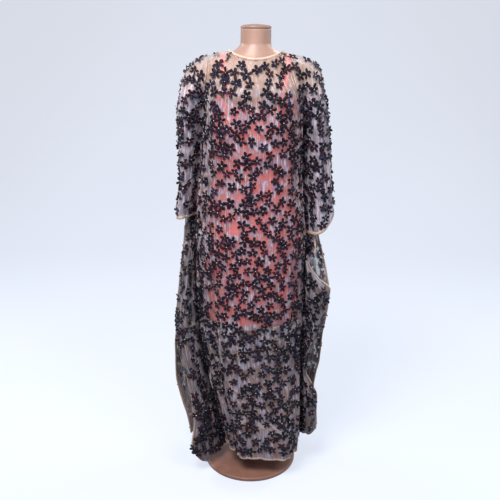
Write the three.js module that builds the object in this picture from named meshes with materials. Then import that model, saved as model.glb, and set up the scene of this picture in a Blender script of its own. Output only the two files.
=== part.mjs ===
// A full-length robe of sheer cloth over a slip, worn by a limbless dress form on a stand.
// Millimetres, +Z up. The origin is the centre of the underside of the stand's base plate.
// +X is to the right of someone who looks at the robe's back, and +Y is towards its front.
import * as THREE from 'three';

// ---------------------------------------------------------------- driving sizes
const CLOTH = 1.6;            // wall of the robe's panels
const SLIP_WALL = 1.2;        // wall of the slip and its straps
const BINDING_WALL = 2.0;     // folded binding
const BINDING_WIDTH = 8;
const SEAM_GAP = 0.4;         // clear space between two pieces at a seam
const EDGE_GAP = 2.3;         // the same where a binding follows a bent edge
const STRAP_WIDTH = 17;
const STRAP_LIFT = 3.1;       // from the form's skin to the middle of a strap
const NECK_HALF_WIDTH = 82;   // neck opening, side to side, from the middle
const NECK_BACK_Z = 1400;     // middle of the back neckline
const NECK_FRONT_Z = 1325;    // middle of the front neckline
const NECK_SIDE_Z = 1421;
const SHOULDER_END_X = 142;   // where body and sleeve meet on the shoulder
const SHOULDER_TIP_X = 205;   // outer end of the left shoulder line
const RIGHT_TIP_SHARE = 0.955; // the right one ends a little nearer
const HEM_Z = 76;             // hem of the body tube
const SLIP_HEM_Z = 556;
const BASE_RADIUS = 161;
const BASE_THICK = 12;
const POLE_RADIUS = 16;
const NECK_RADIUS = 46;
const FORM_TOP_Z = 1500;

const rows = (names, ...values) => values.map(v => Object.fromEntries(names.split(' ').map((n, i) => [n, v[i]])));

// The body tube at each height: where its left and right stitch lines run, how deep the sides, back and front are.
const BODY = rows('z left right sideBack sideFront back front',
  [1430, -142, 142, 58, 53, 88, 82],
  [1403, -142, 142, 59, 54, 92, 84],
  [1360, -144, 141, 61, 54, 99, 87],
  [1330, -147, 141, 62, 56, 106, 95],
  [1290, -150, 142, 47, 46, 114, 110],
  [1200, -156, 145, 26, 28, 121, 129],
  [1130, -163, 148, 1, 1, 119, 134],
  [1045, -170, 152, 1, 1, 115, 132],
  [930, -181, 162, 1, 1, 120, 131],
  [820, -186, 168, 1, 1, 127, 132],
  [650, -182, 168, 1, 1, 129, 136],
  [540, -174, 167, 1, 1, 131, 139],
  [430, -159, 166, 1, 1, 134, 142],
  [330, -143, 166, 1, 1, 137, 145],
  [240, -120, 166, 1, 1, 140, 148],
  [150, -98, 163, 1, 1, 143, 150],
  [60, -82, 157, 1, 1, 145, 152]);

// The line from the neck over the shoulder to its tip.
const SHOULDER = rows('x z', [0, 1424], [82, 1421], [102, 1418.5], [125, 1412], [142, 1408], [170, 1401], [188, 1393], [200, 1381], [205, 1374]);

// The empty sleeves at each height: how far out the top fold hangs, and how deep each half bulges.
const SLEEVE = rows('z left right deep',
  [1430, -205, 196, 6],
  [1374, -205, 196, 10],
  [1357, -214, 200, 12],
  [1333, -221, 206, 16],
  [1290, -229, 214, 36],
  [1240, -238, 224, 48],
  [1180, -237, 231, 58],
  [1110, -235, 237, 64],
  [1020, -234, 246, 68],
  [960, -240, 254, 72],
  [925, -245, 258, 74],
  [880, -248, 258, 75]);

// Bottom edge of the sleeves, from the stitch line (q 0) to the outer fold (q 1).
const CUFF = rows('q leftBack leftFront rightBack rightFront', [0, 915, 890, 856, 884], [0.45, 917, 896, 884, 902], [0.8, 911, 902, 922, 924], [1, 907, 907, 938, 938]);

// The free flaps below the sleeves: how far out the free edge runs, how far it stands behind (minus) or in
// front (plus) of the stitch line, and how deep the flap bulges, at each height.
const WING_LEFT_BACK = rows('z edge stand deep',
  [1010, -214, -14, 34], [930, -219, -18, 42], [860, -222, -22, 48], [742, -236, -20, 54], [642, -247, -22, 60], [531, -257, -30, 64],
  [457, -250, -46, 60], [401, -234, -62, 54], [345, -216, -74, 50], [268, -200, -92, 42], [190, -191, -106, 38],
  [120, -198, -114, 36], [30, -204, -118, 34]);
const WING_LEFT_FRONT = rows('z edge stand deep',
  [1010, -212, 10, 34], [930, -216, 10, 44], [860, -219, 10, 50], [742, -232, 8, 56], [642, -243, 6, 62], [531, -255, 6, 66],
  [436, -263, 8, 68], [320, -262, 12, 66], [221, -244, 18, 60], [147, -225, 24, 54], [60, -212, 30, 50]);
const WING_RIGHT_BACK = rows('z edge stand deep',
  [1010, 190, -22, 30], [930, 192, -26, 34], [861, 196, -30, 36], [804, 202, -44, 38], [764, 182, -50, 30], [712, 212, -48, 42],
  [665, 256, -40, 56], [629, 254, -30, 60], [557, 243, -34, 56], [520, 234, -44, 52], [463, 208, -54, 40], [368, 187, -46, 26],
  [310, 210, -30, 34], [252, 231, -22, 44], [131, 230, -26, 46], [60, 226, -28, 44]);
const WING_RIGHT_FRONT = rows('z edge stand deep',
  [1010, 198, 8, 36], [930, 204, 8, 44], [887, 208, 8, 48], [843, 213, 10, 52], [774, 232, 10, 56], [703, 248, 8, 60],
  [656, 256, 8, 62], [595, 256, 10, 62], [494, 243, 12, 60], [387, 236, 12, 58], [328, 225, 10, 56], [276, 220, 8, 56],
  [208, 230, 8, 58], [139, 236, 8, 60], [60, 232, 10, 60]);

// Folds. "at" runs across a piece (body: -1 left stitch to 1 right stitch; sleeve: 0 stitch, 1 outer fold, +2 for the
// front half; wing: 0 stitch, 1 free edge). A fold goes from height zTop to zEnd, and moves from at to end.
const BODY_BACK_FOLDS = rows('at end zTop zEnd wide deep',
  [-0.46, -0.55, 800, 60, 0.085, -17], [0.72, 0.80, 700, 60, 0.06, 7], [0.56, 0.60, 560, 60, 0.06, -6],
  [-0.1, -0.05, 900, 60, 0.12, -6], [0.22, 0.3, 1050, 60, 0.11, 6], [-0.28, -0.3, 640, 60, 0.08, 6]);
const BODY_FRONT_FOLDS = rows('at end zTop zEnd wide deep',
  [-0.5, -0.55, 900, 60, 0.085, -13], [0.56, 0.62, 980, 60, 0.08, -12], [0, 0.04, 1080, 60, 0.12, -7], [0.3, 0.28, 1000, 60, 0.09, 8], [-0.26, -0.3, 1040, 60, 0.09, 8]);
const SLEEVE_LEFT_FOLDS = rows('at end zTop zEnd wide deep',
  [0.42, 0.34, 1300, 860, 0.08, -9], [0.7, 0.74, 1200, 860, 0.08, -7], [2.4, 2.36, 1290, 860, 0.09, -9], [2.7, 2.74, 1180, 860, 0.08, -6]);
const SLEEVE_RIGHT_FOLDS = rows('at end zTop zEnd wide deep',
  [0.3, 0.26, 1290, 820, 0.08, -8], [0.62, 0.58, 1240, 820, 0.09, -8], [2.36, 2.4, 1300, 860, 0.09, -9], [2.72, 2.66, 1160, 860, 0.08, -7]);
const WING_FOLDS = {
  leftBack: rows('at end zTop zEnd wide deep', [0.3, 0.42, 840, 30, 0.1, -15], [0.68, 0.7, 700, 30, 0.1, -9]),
  leftFront: rows('at end zTop zEnd wide deep', [0.34, 0.38, 880, 60, 0.1, -14], [0.7, 0.66, 760, 60, 0.1, -10]),
  rightBack: rows('at end zTop zEnd wide deep', [0.4, 0.46, 720, 60, 0.12, -11]),
  rightFront: rows('at end zTop zEnd wide deep', [0.36, 0.4, 880, 60, 0.1, -14], [0.7, 0.68, 800, 60, 0.1, -10]),
};

// The slip and the dress form: half width, depth to the back and to the front, and how square the section is.
const SLIP = rows('z half back front square',
  [1330, 134, 104, 94, 2.2], [1300, 135, 105, 97, 2.2], [1200, 133.5, 106, 113, 2.2], [1150, 132, 103.5, 118, 2.2],
  [1050, 130, 98, 106, 2.2], [950, 146, 105, 104, 2.2], [860, 157, 114.5, 106, 2.2], [760, 158, 114, 107, 2.2],
  [650, 157, 113, 109, 2.2], [540, 155, 113, 110, 2.2]);
const SLIP_TOP = rows('at back front', [0, 1256, 1262], [0.3, 1266, 1268], [0.62, 1295, 1289], [0.8, 1271, 1266], [1, 1256, 1256]);
// The straps run over the shoulder: side -1 up the back, 1 down the front, at height z; side 0 over the top, at lie from the middle.
const STRAP = rows('side x z lie', [-1, 80, 1284, 0], [-1, 84, 1312, 0], [-1, 88, 1335, 0], [-1, 92, 1358, 0], [-1, 96, 1378, 0], [0, 98, 0, -45],
  [0, 99, 0, -28], [0, 99, 0, -12], [0, 99, 0, 0], [0, 99, 0, 12], [0, 99, 0, 26], [0, 98.5, 0, 38], [1, 96, 1372, 0], [1, 89, 1336, 0], [1, 80, 1279, 0]);
const TORSO = rows('z half back front square',
  [1486, 46, 46, 46, 2], [1445, 46.5, 48, 46, 2], [1428, 58, 54, 50, 2], [1412, 88, 62, 56, 1.8], [1397, 130, 71, 62, 1.65], [1380, 162, 80, 67, 1.6],
  [1360, 181, 87, 73, 1.6], [1342, 187, 91, 77, 1.65], [1330, 184, 93, 80, 1.7], [1320, 149, 95, 84, 1.9], [1280, 134, 99, 90, 2.2],
  [1200, 128.5, 101, 107, 2.2], [1150, 127, 98, 112.5, 2.2], [1050, 118, 88, 94, 2.2], [950, 138, 98, 96, 2.2], [860, 150, 108, 99, 2.2],
  [775, 149, 103, 97, 2.2], [738, 143, 97, 92, 2.2], [722, 130, 86, 82, 2.2]);

// ---------------------------------------------------------------- small maths
const clamp = (x, a, b) => Math.min(b, Math.max(a, x));
const mix = (a, b, t) => a + (b - a) * t;
const smooth = t => { const c = clamp(t, 0, 1); return c * c * (3 - 2 * c); };

// A smooth curve without overshoot through a table's column.
function at(table, key, x, by = 'z') {
  const up = table[0][by] < table[table.length - 1][by];
  const t = up ? table : [...table].reverse();
  const n = t.length;
  if (x <= t[0][by]) return t[0][key];
  if (x >= t[n - 1][by]) return t[n - 1][key];
  let i = 0;
  while (x > t[i + 1][by]) i++;
  const secant = k => (t[k + 1][key] - t[k][key]) / (t[k + 1][by] - t[k][by]);
  const slope = k => {
    if (k === 0) return secant(0);
    if (k === n - 1) return secant(n - 2);
    const a = secant(k - 1), b = secant(k);
    return a * b <= 0 ? 0 : 2 * a * b / (a + b);
  };
  const h = t[i + 1][by] - t[i][by], s = (x - t[i][by]) / h;
  return (1 + 2 * s) * (1 - s) ** 2 * t[i][key] + s * (1 - s) ** 2 * h * slope(i)
    + s * s * (3 - 2 * s) * t[i + 1][key] - s * s * (1 - s) * h * slope(i + 1);
}
const signedPower = (v, p) => Math.sign(v) * Math.abs(v) ** p;
const quarter = t => { const c = clamp(t, 0, 1); return Math.sqrt(1 - (1 - c) ** 2); };

function foldDepth(folds, across, z) {
  let d = 0;
  for (const f of folds) {
    const run = clamp((f.zTop - z) / (f.zTop - f.zEnd), 0, 1);
    const grown = smooth((f.zTop - z) / 160);
    d += f.deep * grown * Math.exp(-(((across - mix(f.at, f.end, run)) / f.wide) ** 2));
  }
  return d;
}

// ---------------------------------------------------------------- cloth surfaces, each a function of (u, v)
// side is -1 for the back and +1 for the front.
function bodyTop(side, u) {
  const x = SHOULDER_END_X * u;
  if (Math.abs(x) < NECK_HALF_WIDTH) {
    const s = x / NECK_HALF_WIDTH, round = Math.sqrt(Math.max(0, 1 - s * s));
    return side < 0 ? { x, y: -75 * round - 0.8, z: mix(NECK_BACK_Z, NECK_SIDE_Z, s * s) }
      : { x, y: 92 * round ** 0.6 + 0.8, z: NECK_SIDE_Z - (NECK_SIDE_Z - NECK_FRONT_Z) * round ** 1.5 };
  }
  return { x, y: side * 0.8, z: at(SHOULDER, 'z', Math.abs(x), 'x') };
}
function bodySection(side, u, z) {
  const left = at(BODY, 'left', z), right = at(BODY, 'right', z);
  const edge = Math.max(0.2 + SEAM_GAP / 2, at(BODY, side < 0 ? 'sideBack' : 'sideFront', z) - 1);
  const deep = at(BODY, side < 0 ? 'back' : 'front', z);
  const full = smooth((1375 - z) / 90), a = u * Math.PI / 2;
  // towards the hem the back's right corner gets squarer
  const p = mix(0.86, 0.52, side < 0 && u > 0 ? smooth((430 - z) / 310) * smooth(u / 0.3) : 0);
  const sx = mix(u, signedPower(Math.sin(a), p), full);
  const sy = Math.abs(Math.cos(a)) ** mix(1, p, full);
  return { x: (left + right) / 2 + (right - left) / 2 * sx, y: side * mix(edge, deep, sy) };
}
function bodyPoint(side, u, v) {
  const top = bodyTop(side, u);
  const z = mix(top.z, HEM_Z + 6 * Math.abs(u) ** 3 - 4 * Math.sin(2.3 * u + side), v);
  const s = bodySection(side, u, z);
  const reach = mix(110, 60, smooth((Math.abs(top.x) - 60) / 60));
  const g = quarter((top.z - z) / reach);
  const e = 0.01, p0 = bodySection(side, clamp(u - e, -1, 1), z), p1 = bodySection(side, clamp(u + e, -1, 1), z);
  const tx = p1.x - p0.x, ty = p1.y - p0.y, tl = Math.hypot(tx, ty);
  const d = foldDepth(side < 0 ? BODY_BACK_FOLDS : BODY_FRONT_FOLDS, u, z);
  const nx = -side * ty / tl, ny = side * tx / tl;
  return new THREE.Vector3(mix(top.x, s.x, smooth((top.z - z) / 60)) + nx * d, top.y + (s.y - top.y) * g + ny * d, z);
}

// How deep a sleeve's half bulges, q of the way from the stitch line to the outer fold.
function sleeveDepth(hand, side, q, z) {
  const edge = Math.max(4.5, at(BODY, side < 0 ? 'sideBack' : 'sideFront', z) - 1);
  const f = foldDepth(hand < 0 ? SLEEVE_LEFT_FOLDS : SLEEVE_RIGHT_FOLDS, side < 0 ? q : 2 + q, z);
  return edge * (1 - q) + (at(SLEEVE, 'deep', z) + f) * smooth(q / (hand < 0 ? 0.5 : 0.3)) * Math.sqrt(Math.max(0, 1 - q ** 2.4));
}
// A sleeve: u from 0 (back stitch line) over 1 (outer fold) to 2 (front stitch line).
function sleevePoint(hand, u, v) {
  const back = u <= 1, side = back ? -1 : 1, q = back ? u : 2 - u, key = hand < 0 ? 'left' : 'right';
  const outerTop = hand * SHOULDER_TIP_X * (hand < 0 ? 1 : RIGHT_TIP_SHARE);
  const fx = Math.sin(q * Math.PI / 2);
  const startTop = hand * (SHOULDER_END_X + SEAM_GAP + 0.4);
  const xTop = mix(startTop, outerTop, fx);
  const zTop = at(SHOULDER, 'z', Math.abs(xTop) / (hand < 0 ? 1 : RIGHT_TIP_SHARE), 'x') - 0.2;
  const zEnd = at(CUFF, key + (back ? 'Back' : 'Front'), q, 'q');
  const z = mix(zTop, zEnd, v);
  const start = at(BODY, key, z) + hand * mix(SEAM_GAP + 0.4, CLOTH + 0.6, smooth((1400 - z) / 60));
  const y = side * sleeveDepth(hand, side, q, z) * quarter((zTop - z) / 55);
  return new THREE.Vector3(mix(start, at(SLEEVE, key, z), fx), y, z);
}

// A wing: q from 0 (stitch line) to 1 (free edge).
function wingPoint(hand, side, q, v) {
  const key = (hand < 0 ? 'left' : 'right') + (side < 0 ? 'Back' : 'Front');
  const table = { leftBack: WING_LEFT_BACK, leftFront: WING_LEFT_FRONT, rightBack: WING_RIGHT_BACK, rightFront: WING_RIGHT_FRONT }[key];
  const zTop = mix(1010, 950, q ** 0.8);
  const zEnd = { leftBack: 62 + 30 * smooth((q - 0.6) / 0.4) - 26 * Math.sin(Math.PI * q ** 0.9), leftFront: 80 - 8 * q, rightBack: 120 + 4 * q, rightFront: 104 + 6 * q }[key];
  const z = mix(zTop, zEnd, v);
  const start = at(BODY, hand < 0 ? 'left' : 'right', z) + hand * (CLOTH + mix(0.6, 2, smooth((480 - z) / 120)));
  const edge = at(table, 'edge', z), stand = at(table, 'stand', z), deep = at(table, 'deep', z);
  const f = foldDepth(WING_FOLDS[key], q, z);
  const x = mix(start, edge, q);
  const bulge = Math.sin(Math.PI * q ** 0.85) ** 0.9;
  const own = side * 1.5 + (stand - side * 1.5) * smooth(q) + side * (deep + f * smooth(q * 4) * smooth((1 - q) * 4)) * bulge;
  // up inside the sleeve the flap stays clear of the sleeve's wall
  const side2 = own < 0 ? -1 : 1, outer = at(SLEEVE, hand < 0 ? 'left' : 'right', z);
  const qs = Math.asin(clamp((x - start) / (outer - start), 0, 1)) * 2 / Math.PI;
  const cuff = at(CUFF, key, qs, 'q'), within = smooth((z - cuff + 130) / 80);
  const most = 0.5 * sleeveDepth(hand, side2, qs, z) - 1;
  return new THREE.Vector3(x, mix(own, side2 * Math.min(Math.abs(own), Math.max(1.5, most)), within), z);
}

function ovalPoint(table, u, z) {            // u runs once round, from 0 to 1
  const a = u * 2 * Math.PI, c = Math.cos(a), s = Math.sin(a), p = 2 / at(table, 'square', z);
  return new THREE.Vector3(at(table, 'half', z) * signedPower(c, p), (s < 0 ? at(table, 'back', z) : at(table, 'front', z)) * signedPower(s, p), z);
}
function torsoDepth(side, x, z) {
  const n = at(TORSO, 'square', z), inside = 1 - (Math.abs(x) / at(TORSO, 'half', z)) ** n;
  return inside <= 0 ? 0 : at(TORSO, side < 0 ? 'back' : 'front', z) * inside ** (1 / n);
}
function torsoTop(x, y) {                     // height of the form's shoulder over (x, y)
  let low = 1345, high = 1425;
  for (let k = 0; k < 30; k++) { const z = (low + high) / 2; if (torsoDepth(y, x, z) > Math.abs(y) + 0.01) low = z; else high = z; }
  return low;
}
function slipPoint(side, u, v) {             // u from -1 (left side seam) to 1 (right side seam)
  const top = at(SLIP_TOP, side < 0 ? 'back' : 'front', Math.abs(u), 'at');
  const z = mix(top, SLIP_HEM_Z, v), a = u * Math.PI / 2;
  const p = 2 / at(SLIP, 'square', z);
  return new THREE.Vector3(at(SLIP, 'half', z) * signedPower(Math.sin(a), p),
    side * (0.2 + SEAM_GAP / 2 + at(SLIP, side < 0 ? 'back' : 'front', z) * Math.abs(Math.cos(a)) ** p), z);
}

// ---------------------------------------------------------------- from surfaces to closed walls
// grid[i][j] are points; wrapI closes the grid round. The wall is thick, half to each side.
function wall(grid, thick, wrapI = false) {
  const n = grid.length, m = grid[0].length;
  const normal = (i, j) => {
    const pick = k => grid[wrapI ? (k + n) % n : clamp(k, 0, n - 1)];
    const a = new THREE.Vector3().subVectors(pick(i + 1)[j], pick(i - 1)[j]);
    const b = new THREE.Vector3().subVectors(grid[i][Math.min(j + 1, m - 1)], grid[i][Math.max(j - 1, 0)]);
    return a.cross(b).normalize();
  };
  const xyz = [];
  for (const s of [0.5, -0.5])
    for (let i = 0; i < n; i++) for (let j = 0; j < m; j++) {
      const p = grid[i][j].clone().addScaledVector(normal(i, j), s * thick);
      xyz.push(p.x, p.y, p.z);
    }
  const id = (layer, i, j) => layer * n * m + (i % n) * m + j, tri = [];
  const quad = (a, b, c, d) => tri.push(a, b, c, a, c, d);
  const rounds = wrapI ? n : n - 1;
  for (let i = 0; i < rounds; i++) for (let j = 0; j < m - 1; j++) {
    quad(id(0, i, j), id(0, i + 1, j), id(0, i + 1, j + 1), id(0, i, j + 1));
    quad(id(1, i, j), id(1, i, j + 1), id(1, i + 1, j + 1), id(1, i + 1, j));
  }
  for (let i = 0; i < rounds; i++) {
    quad(id(0, i, 0), id(1, i, 0), id(1, i + 1, 0), id(0, i + 1, 0));
    quad(id(0, i, m - 1), id(0, i + 1, m - 1), id(1, i + 1, m - 1), id(1, i, m - 1));
  }
  if (!wrapI) for (let j = 0; j < m - 1; j++) {
    quad(id(0, 0, j), id(0, 0, j + 1), id(1, 0, j + 1), id(1, 0, j));
    quad(id(0, n - 1, j), id(1, n - 1, j), id(1, n - 1, j + 1), id(0, n - 1, j + 1));
  }
  return closed(xyz, tri);
}
function closed(xyz, tri) {
  let volume = 0;
  const v = k => new THREE.Vector3(xyz[3 * k], xyz[3 * k + 1], xyz[3 * k + 2]);
  for (let k = 0; k < tri.length; k += 3) volume += v(tri[k]).dot(v(tri[k + 1]).cross(v(tri[k + 2])));
  if (volume < 0) for (let k = 0; k < tri.length; k += 3) [tri[k + 1], tri[k + 2]] = [tri[k + 2], tri[k + 1]];
  const g = new THREE.BufferGeometry();
  g.setAttribute('position', new THREE.Float32BufferAttribute(xyz, 3));
  g.setIndex(tri);
  g.computeVertexNormals();
  return g;
}
// A grid of points at the given places across; with crowd the rows lie closer together at the top.
const gridOf = (point, across, nv, crowd = false) => across.map(u => Array.from({ length: nv + 1 }, (_, j) => point(u, crowd ? 1 - Math.cos(j / nv * Math.PI / 2) : j / nv)));
const evenly = (n, a, b) => Array.from({ length: n + 1 }, (_, i) => mix(a, b, i / n));
// A strip that goes on from an edge: edge and inner are matching rows of points.
const stripOf = (edge, inner, width) => edge.map((p, i) => {
  const out = new THREE.Vector3().subVectors(p, inner[i]).normalize();
  return [p.clone().addScaledVector(out, EDGE_GAP), p.clone().addScaledVector(out, EDGE_GAP + width)];
});

// ---------------------------------------------------------------- pieces
const group = new THREE.Group();
function add(name, geometry, colour, roughness = 0.85) {
  const mesh = new THREE.Mesh(geometry, new THREE.MeshStandardMaterial({ color: colour, roughness, metalness: 0, side: THREE.DoubleSide }));
  mesh.name = name;
  group.add(mesh);
}
const ROBE = 0x8f8796, BEIGE = 0xd2b6a0, CORAL = 0xd9706c, SKIN = 0xc79f8b, STAND = 0x96705f;

// across the body: four steps on each shoulder, and steps that crowd towards the sides of the neck
const NECK_U = NECK_HALF_WIDTH / SHOULDER_END_X;
const BODY_U = [...evenly(4, -1, -NECK_U).slice(0, 4), ...evenly(12, -1, 1).map(t => NECK_U * Math.sin(t * Math.PI / 2)), ...evenly(4, NECK_U, 1).slice(1)];
const bodyBack = gridOf((u, v) => bodyPoint(-1, u, v), BODY_U, 16, true);
const bodyFront = gridOf((u, v) => bodyPoint(1, u, v), BODY_U, 16, true);
add('body_back', wall(bodyBack, CLOTH), ROBE);
add('body_front', wall(bodyFront, CLOTH), ROBE);

for (const [hand, name] of [[-1, 'left'], [1, 'right']]) {
  const sleeve = gridOf((u, v) => sleevePoint(hand, u, v), evenly(20, 0, 2), 11, true);
  add('sleeve_' + name, wall(sleeve, CLOTH), ROBE);
  add('cuff_' + name, wall(stripOf(sleeve.map(c => c[11]), sleeve.map(c => c[10]), BINDING_WIDTH), BINDING_WALL), BEIGE);
  for (const [side, face] of [[-1, 'back'], [1, 'front']]) {
    const wing = gridOf((q, v) => wingPoint(hand, side, q, v), evenly(8, 0, 1), 16);
    add('wing_' + name + '_' + face, wall(wing, CLOTH), ROBE);
    add('edge_' + name + '_' + face, wall(stripOf(wing[8].slice(2), wing[7].slice(2), BINDING_WIDTH), BINDING_WALL), BEIGE);
  }
}

// The neck binding follows the neckline round, and the hem binding the hem.
function ringOf(back, front, gap, width, rise) {
  const edge = [...back.map(c => c[0]), ...[...front].reverse().map(c => c[0])];
  const inner = [...back.map(c => c[1]), ...[...front].reverse().map(c => c[1])];
  return edge.map((p, i) => {
    const out = new THREE.Vector3().subVectors(p, inner[i]).normalize();
    out.z += rise;
    out.normalize();
    return [p.clone().addScaledVector(out, gap), p.clone().addScaledVector(out, gap + width)];
  });
}
const neckColumns = grid => grid.slice(4, 17).map(c => [c[0], c[1]]);
const hemColumns = grid => grid.map(c => [c[16], c[15]]);
add('neck_binding', wall(ringOf(neckColumns(bodyBack), neckColumns(bodyFront), EDGE_GAP + 0.2, 4, 1.2), BINDING_WALL, true), BEIGE);
add('hem_binding', wall(ringOf(hemColumns(bodyBack), hemColumns(bodyFront), EDGE_GAP, 6, 0), BINDING_WALL, true), BEIGE);

add('slip_back', wall(gridOf((u, v) => slipPoint(-1, u, v), evenly(14, -1, 1), 8), SLIP_WALL), CORAL, 0.55);
add('slip_front', wall(gridOf((u, v) => slipPoint(1, u, v), evenly(14, -1, 1), 8), SLIP_WALL), CORAL, 0.55);
for (const [hand, name] of [[-1, 'left'], [1, 'right']])
  add('strap_' + name, wall(STRAP.map(p => [-STRAP_WIDTH / 2, STRAP_WIDTH / 2].map(w => {
    const x = p.x + w, y = p.side ? p.side * (torsoDepth(p.side, x, p.z) + STRAP_LIFT) : p.lie;
    return new THREE.Vector3(hand * x, y, p.side ? p.z : torsoTop(x, p.lie) + STRAP_LIFT);
  })), SLIP_WALL), CORAL, 0.55);

// ---------------------------------------------------------------- the dress form and its stand
function loft(table, count) {
  const n = count, xyz = [], tri = [];
  for (const r of table) for (let i = 0; i < n; i++) { const p = ovalPoint(table, i / n, r.z); xyz.push(p.x, p.y, p.z); }
  const m = table.length, top = n * m, bottom = top + 1;
  xyz.push(0, 0, table[0].z, 0, 0, table[m - 1].z);
  for (let j = 0; j < m - 1; j++) for (let i = 0; i < n; i++) {
    const a = j * n + i, b = j * n + (i + 1) % n, c = a + n, d = b + n;
    tri.push(a, c, b, b, c, d);
  }
  for (let i = 0; i < n; i++) { tri.push(top, i, (i + 1) % n); tri.push(bottom, (m - 1) * n + (i + 1) % n, (m - 1) * n + i); }
  return closed(xyz, tri);
}
add('form_torso', loft(TORSO, 28), SKIN, 0.45);

const turned = (profile, segments) => {
  const g = new THREE.LatheGeometry(profile.map(p => new THREE.Vector2(p[0], p[1])), segments);
  g.rotateX(Math.PI / 2);
  return g;
};
const CAP_Z = 1486.4;
add('neck_cap', turned([[0, CAP_Z], [45, CAP_Z], [46.2, CAP_Z + 1.2], [46.2, CAP_Z + 6], [44, CAP_Z + 8.6], [30, FORM_TOP_Z - 2.4], [0, FORM_TOP_Z]], 32), SKIN, 0.4);
add('pole', turned([[0, BASE_THICK + 0.4], [26, BASE_THICK + 0.4], [26, BASE_THICK + 14], [POLE_RADIUS, BASE_THICK + 22], [POLE_RADIUS, 721.6], [0, 721.6]], 24), STAND, 0.5);
add('base_plate', turned([[0, 0], [BASE_RADIUS - 2, 0], [BASE_RADIUS, 2], [BASE_RADIUS, BASE_THICK - 4], [BASE_RADIUS - 4, BASE_THICK], [0, BASE_THICK]], 56), STAND, 0.5);

export default group;
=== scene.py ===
"""Looks of the sheer flowered robe over a coral slip, on a limbless dress form.

Every piece is built here in metres in the row frame. The cloth surfaces follow the same tables as the solids, on
finer grids, with more creases placed one by one. The robe's sheer cloth is one layer of faces; the slip, the straps,
the bindings, the petals and the beads are closed.
"""

import math

import bpy
import numpy as np
from mathutils import Matrix, Vector


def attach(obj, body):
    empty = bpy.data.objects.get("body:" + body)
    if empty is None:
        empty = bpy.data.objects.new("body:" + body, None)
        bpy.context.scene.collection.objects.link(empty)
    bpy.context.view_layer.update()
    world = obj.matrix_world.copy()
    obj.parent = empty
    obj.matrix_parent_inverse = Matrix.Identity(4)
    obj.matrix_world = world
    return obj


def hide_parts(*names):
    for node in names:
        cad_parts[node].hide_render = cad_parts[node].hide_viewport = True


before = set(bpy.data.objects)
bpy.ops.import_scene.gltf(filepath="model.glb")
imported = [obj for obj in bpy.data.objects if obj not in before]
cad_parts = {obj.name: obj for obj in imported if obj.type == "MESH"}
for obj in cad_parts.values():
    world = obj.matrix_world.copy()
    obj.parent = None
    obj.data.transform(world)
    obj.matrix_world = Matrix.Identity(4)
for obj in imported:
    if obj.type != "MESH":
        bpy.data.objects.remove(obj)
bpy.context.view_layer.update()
MM = 0.001

# ---------------------------------------------------------------- sizes, in millimetres, as in the solids
NECK_HALF_WIDTH, NECK_BACK_Z, NECK_FRONT_Z, NECK_SIDE_Z = 82.0, 1400.0, 1325.0, 1421.0
SHOULDER_END_X, SHOULDER_TIP_X, RIGHT_TIP_SHARE = 142.0, 205.0, 0.955
HEM_Z, SLIP_HEM_Z = 76.0, 556.0
NECK_U = NECK_HALF_WIDTH / SHOULDER_END_X


def rows(names, *values):
    """Columns of a table, sorted so that the first one rises."""
    names = names.split()
    a = np.array(values, float)
    a = a[np.argsort(a[:, 0])]
    return {n: a[:, i] for i, n in enumerate(names)} | {"by": a[:, 0]}


BODY = rows(
    "z left right sideBack sideFront back front",
    [1430, -142, 142, 58, 53, 88, 82], [1403, -142, 142, 59, 54, 92, 84], [1360, -144, 141, 61, 54, 99, 87],
    [1330, -147, 141, 62, 56, 106, 95], [1290, -150, 142, 47, 46, 114, 110], [1200, -156, 145, 26, 28, 121, 129],
    [1130, -163, 148, 1, 1, 119, 134], [1045, -170, 152, 1, 1, 115, 132], [930, -181, 162, 1, 1, 120, 131],
    [820, -186, 168, 1, 1, 127, 132], [650, -182, 168, 1, 1, 129, 136], [540, -174, 167, 1, 1, 131, 139],
    [430, -159, 166, 1, 1, 134, 142], [330, -143, 166, 1, 1, 137, 145], [240, -120, 166, 1, 1, 140, 148],
    [150, -98, 163, 1, 1, 143, 150], [60, -82, 157, 1, 1, 145, 152],
)
SHOULDER = rows(
    "x z", [0, 1424], [82, 1421], [102, 1418.5], [125, 1412], [142, 1408], [170, 1401], [188, 1393], [200, 1381], [205, 1374]
)
SLEEVE = rows(
    "z left right deep",
    [1430, -205, 196, 6], [1374, -205, 196, 10], [1357, -214, 200, 12], [1333, -221, 206, 16], [1290, -229, 214, 36],
    [1240, -238, 224, 48], [1180, -237, 231, 58], [1110, -235, 237, 64], [1020, -234, 246, 68], [960, -240, 254, 72],
    [925, -245, 258, 74], [880, -248, 258, 75],
)
CUFF = rows(
    "q leftBack leftFront rightBack rightFront",
    [0, 915, 890, 856, 884], [0.45, 917, 896, 884, 902], [0.8, 911, 902, 922, 924], [1, 907, 907, 938, 938],
)
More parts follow.
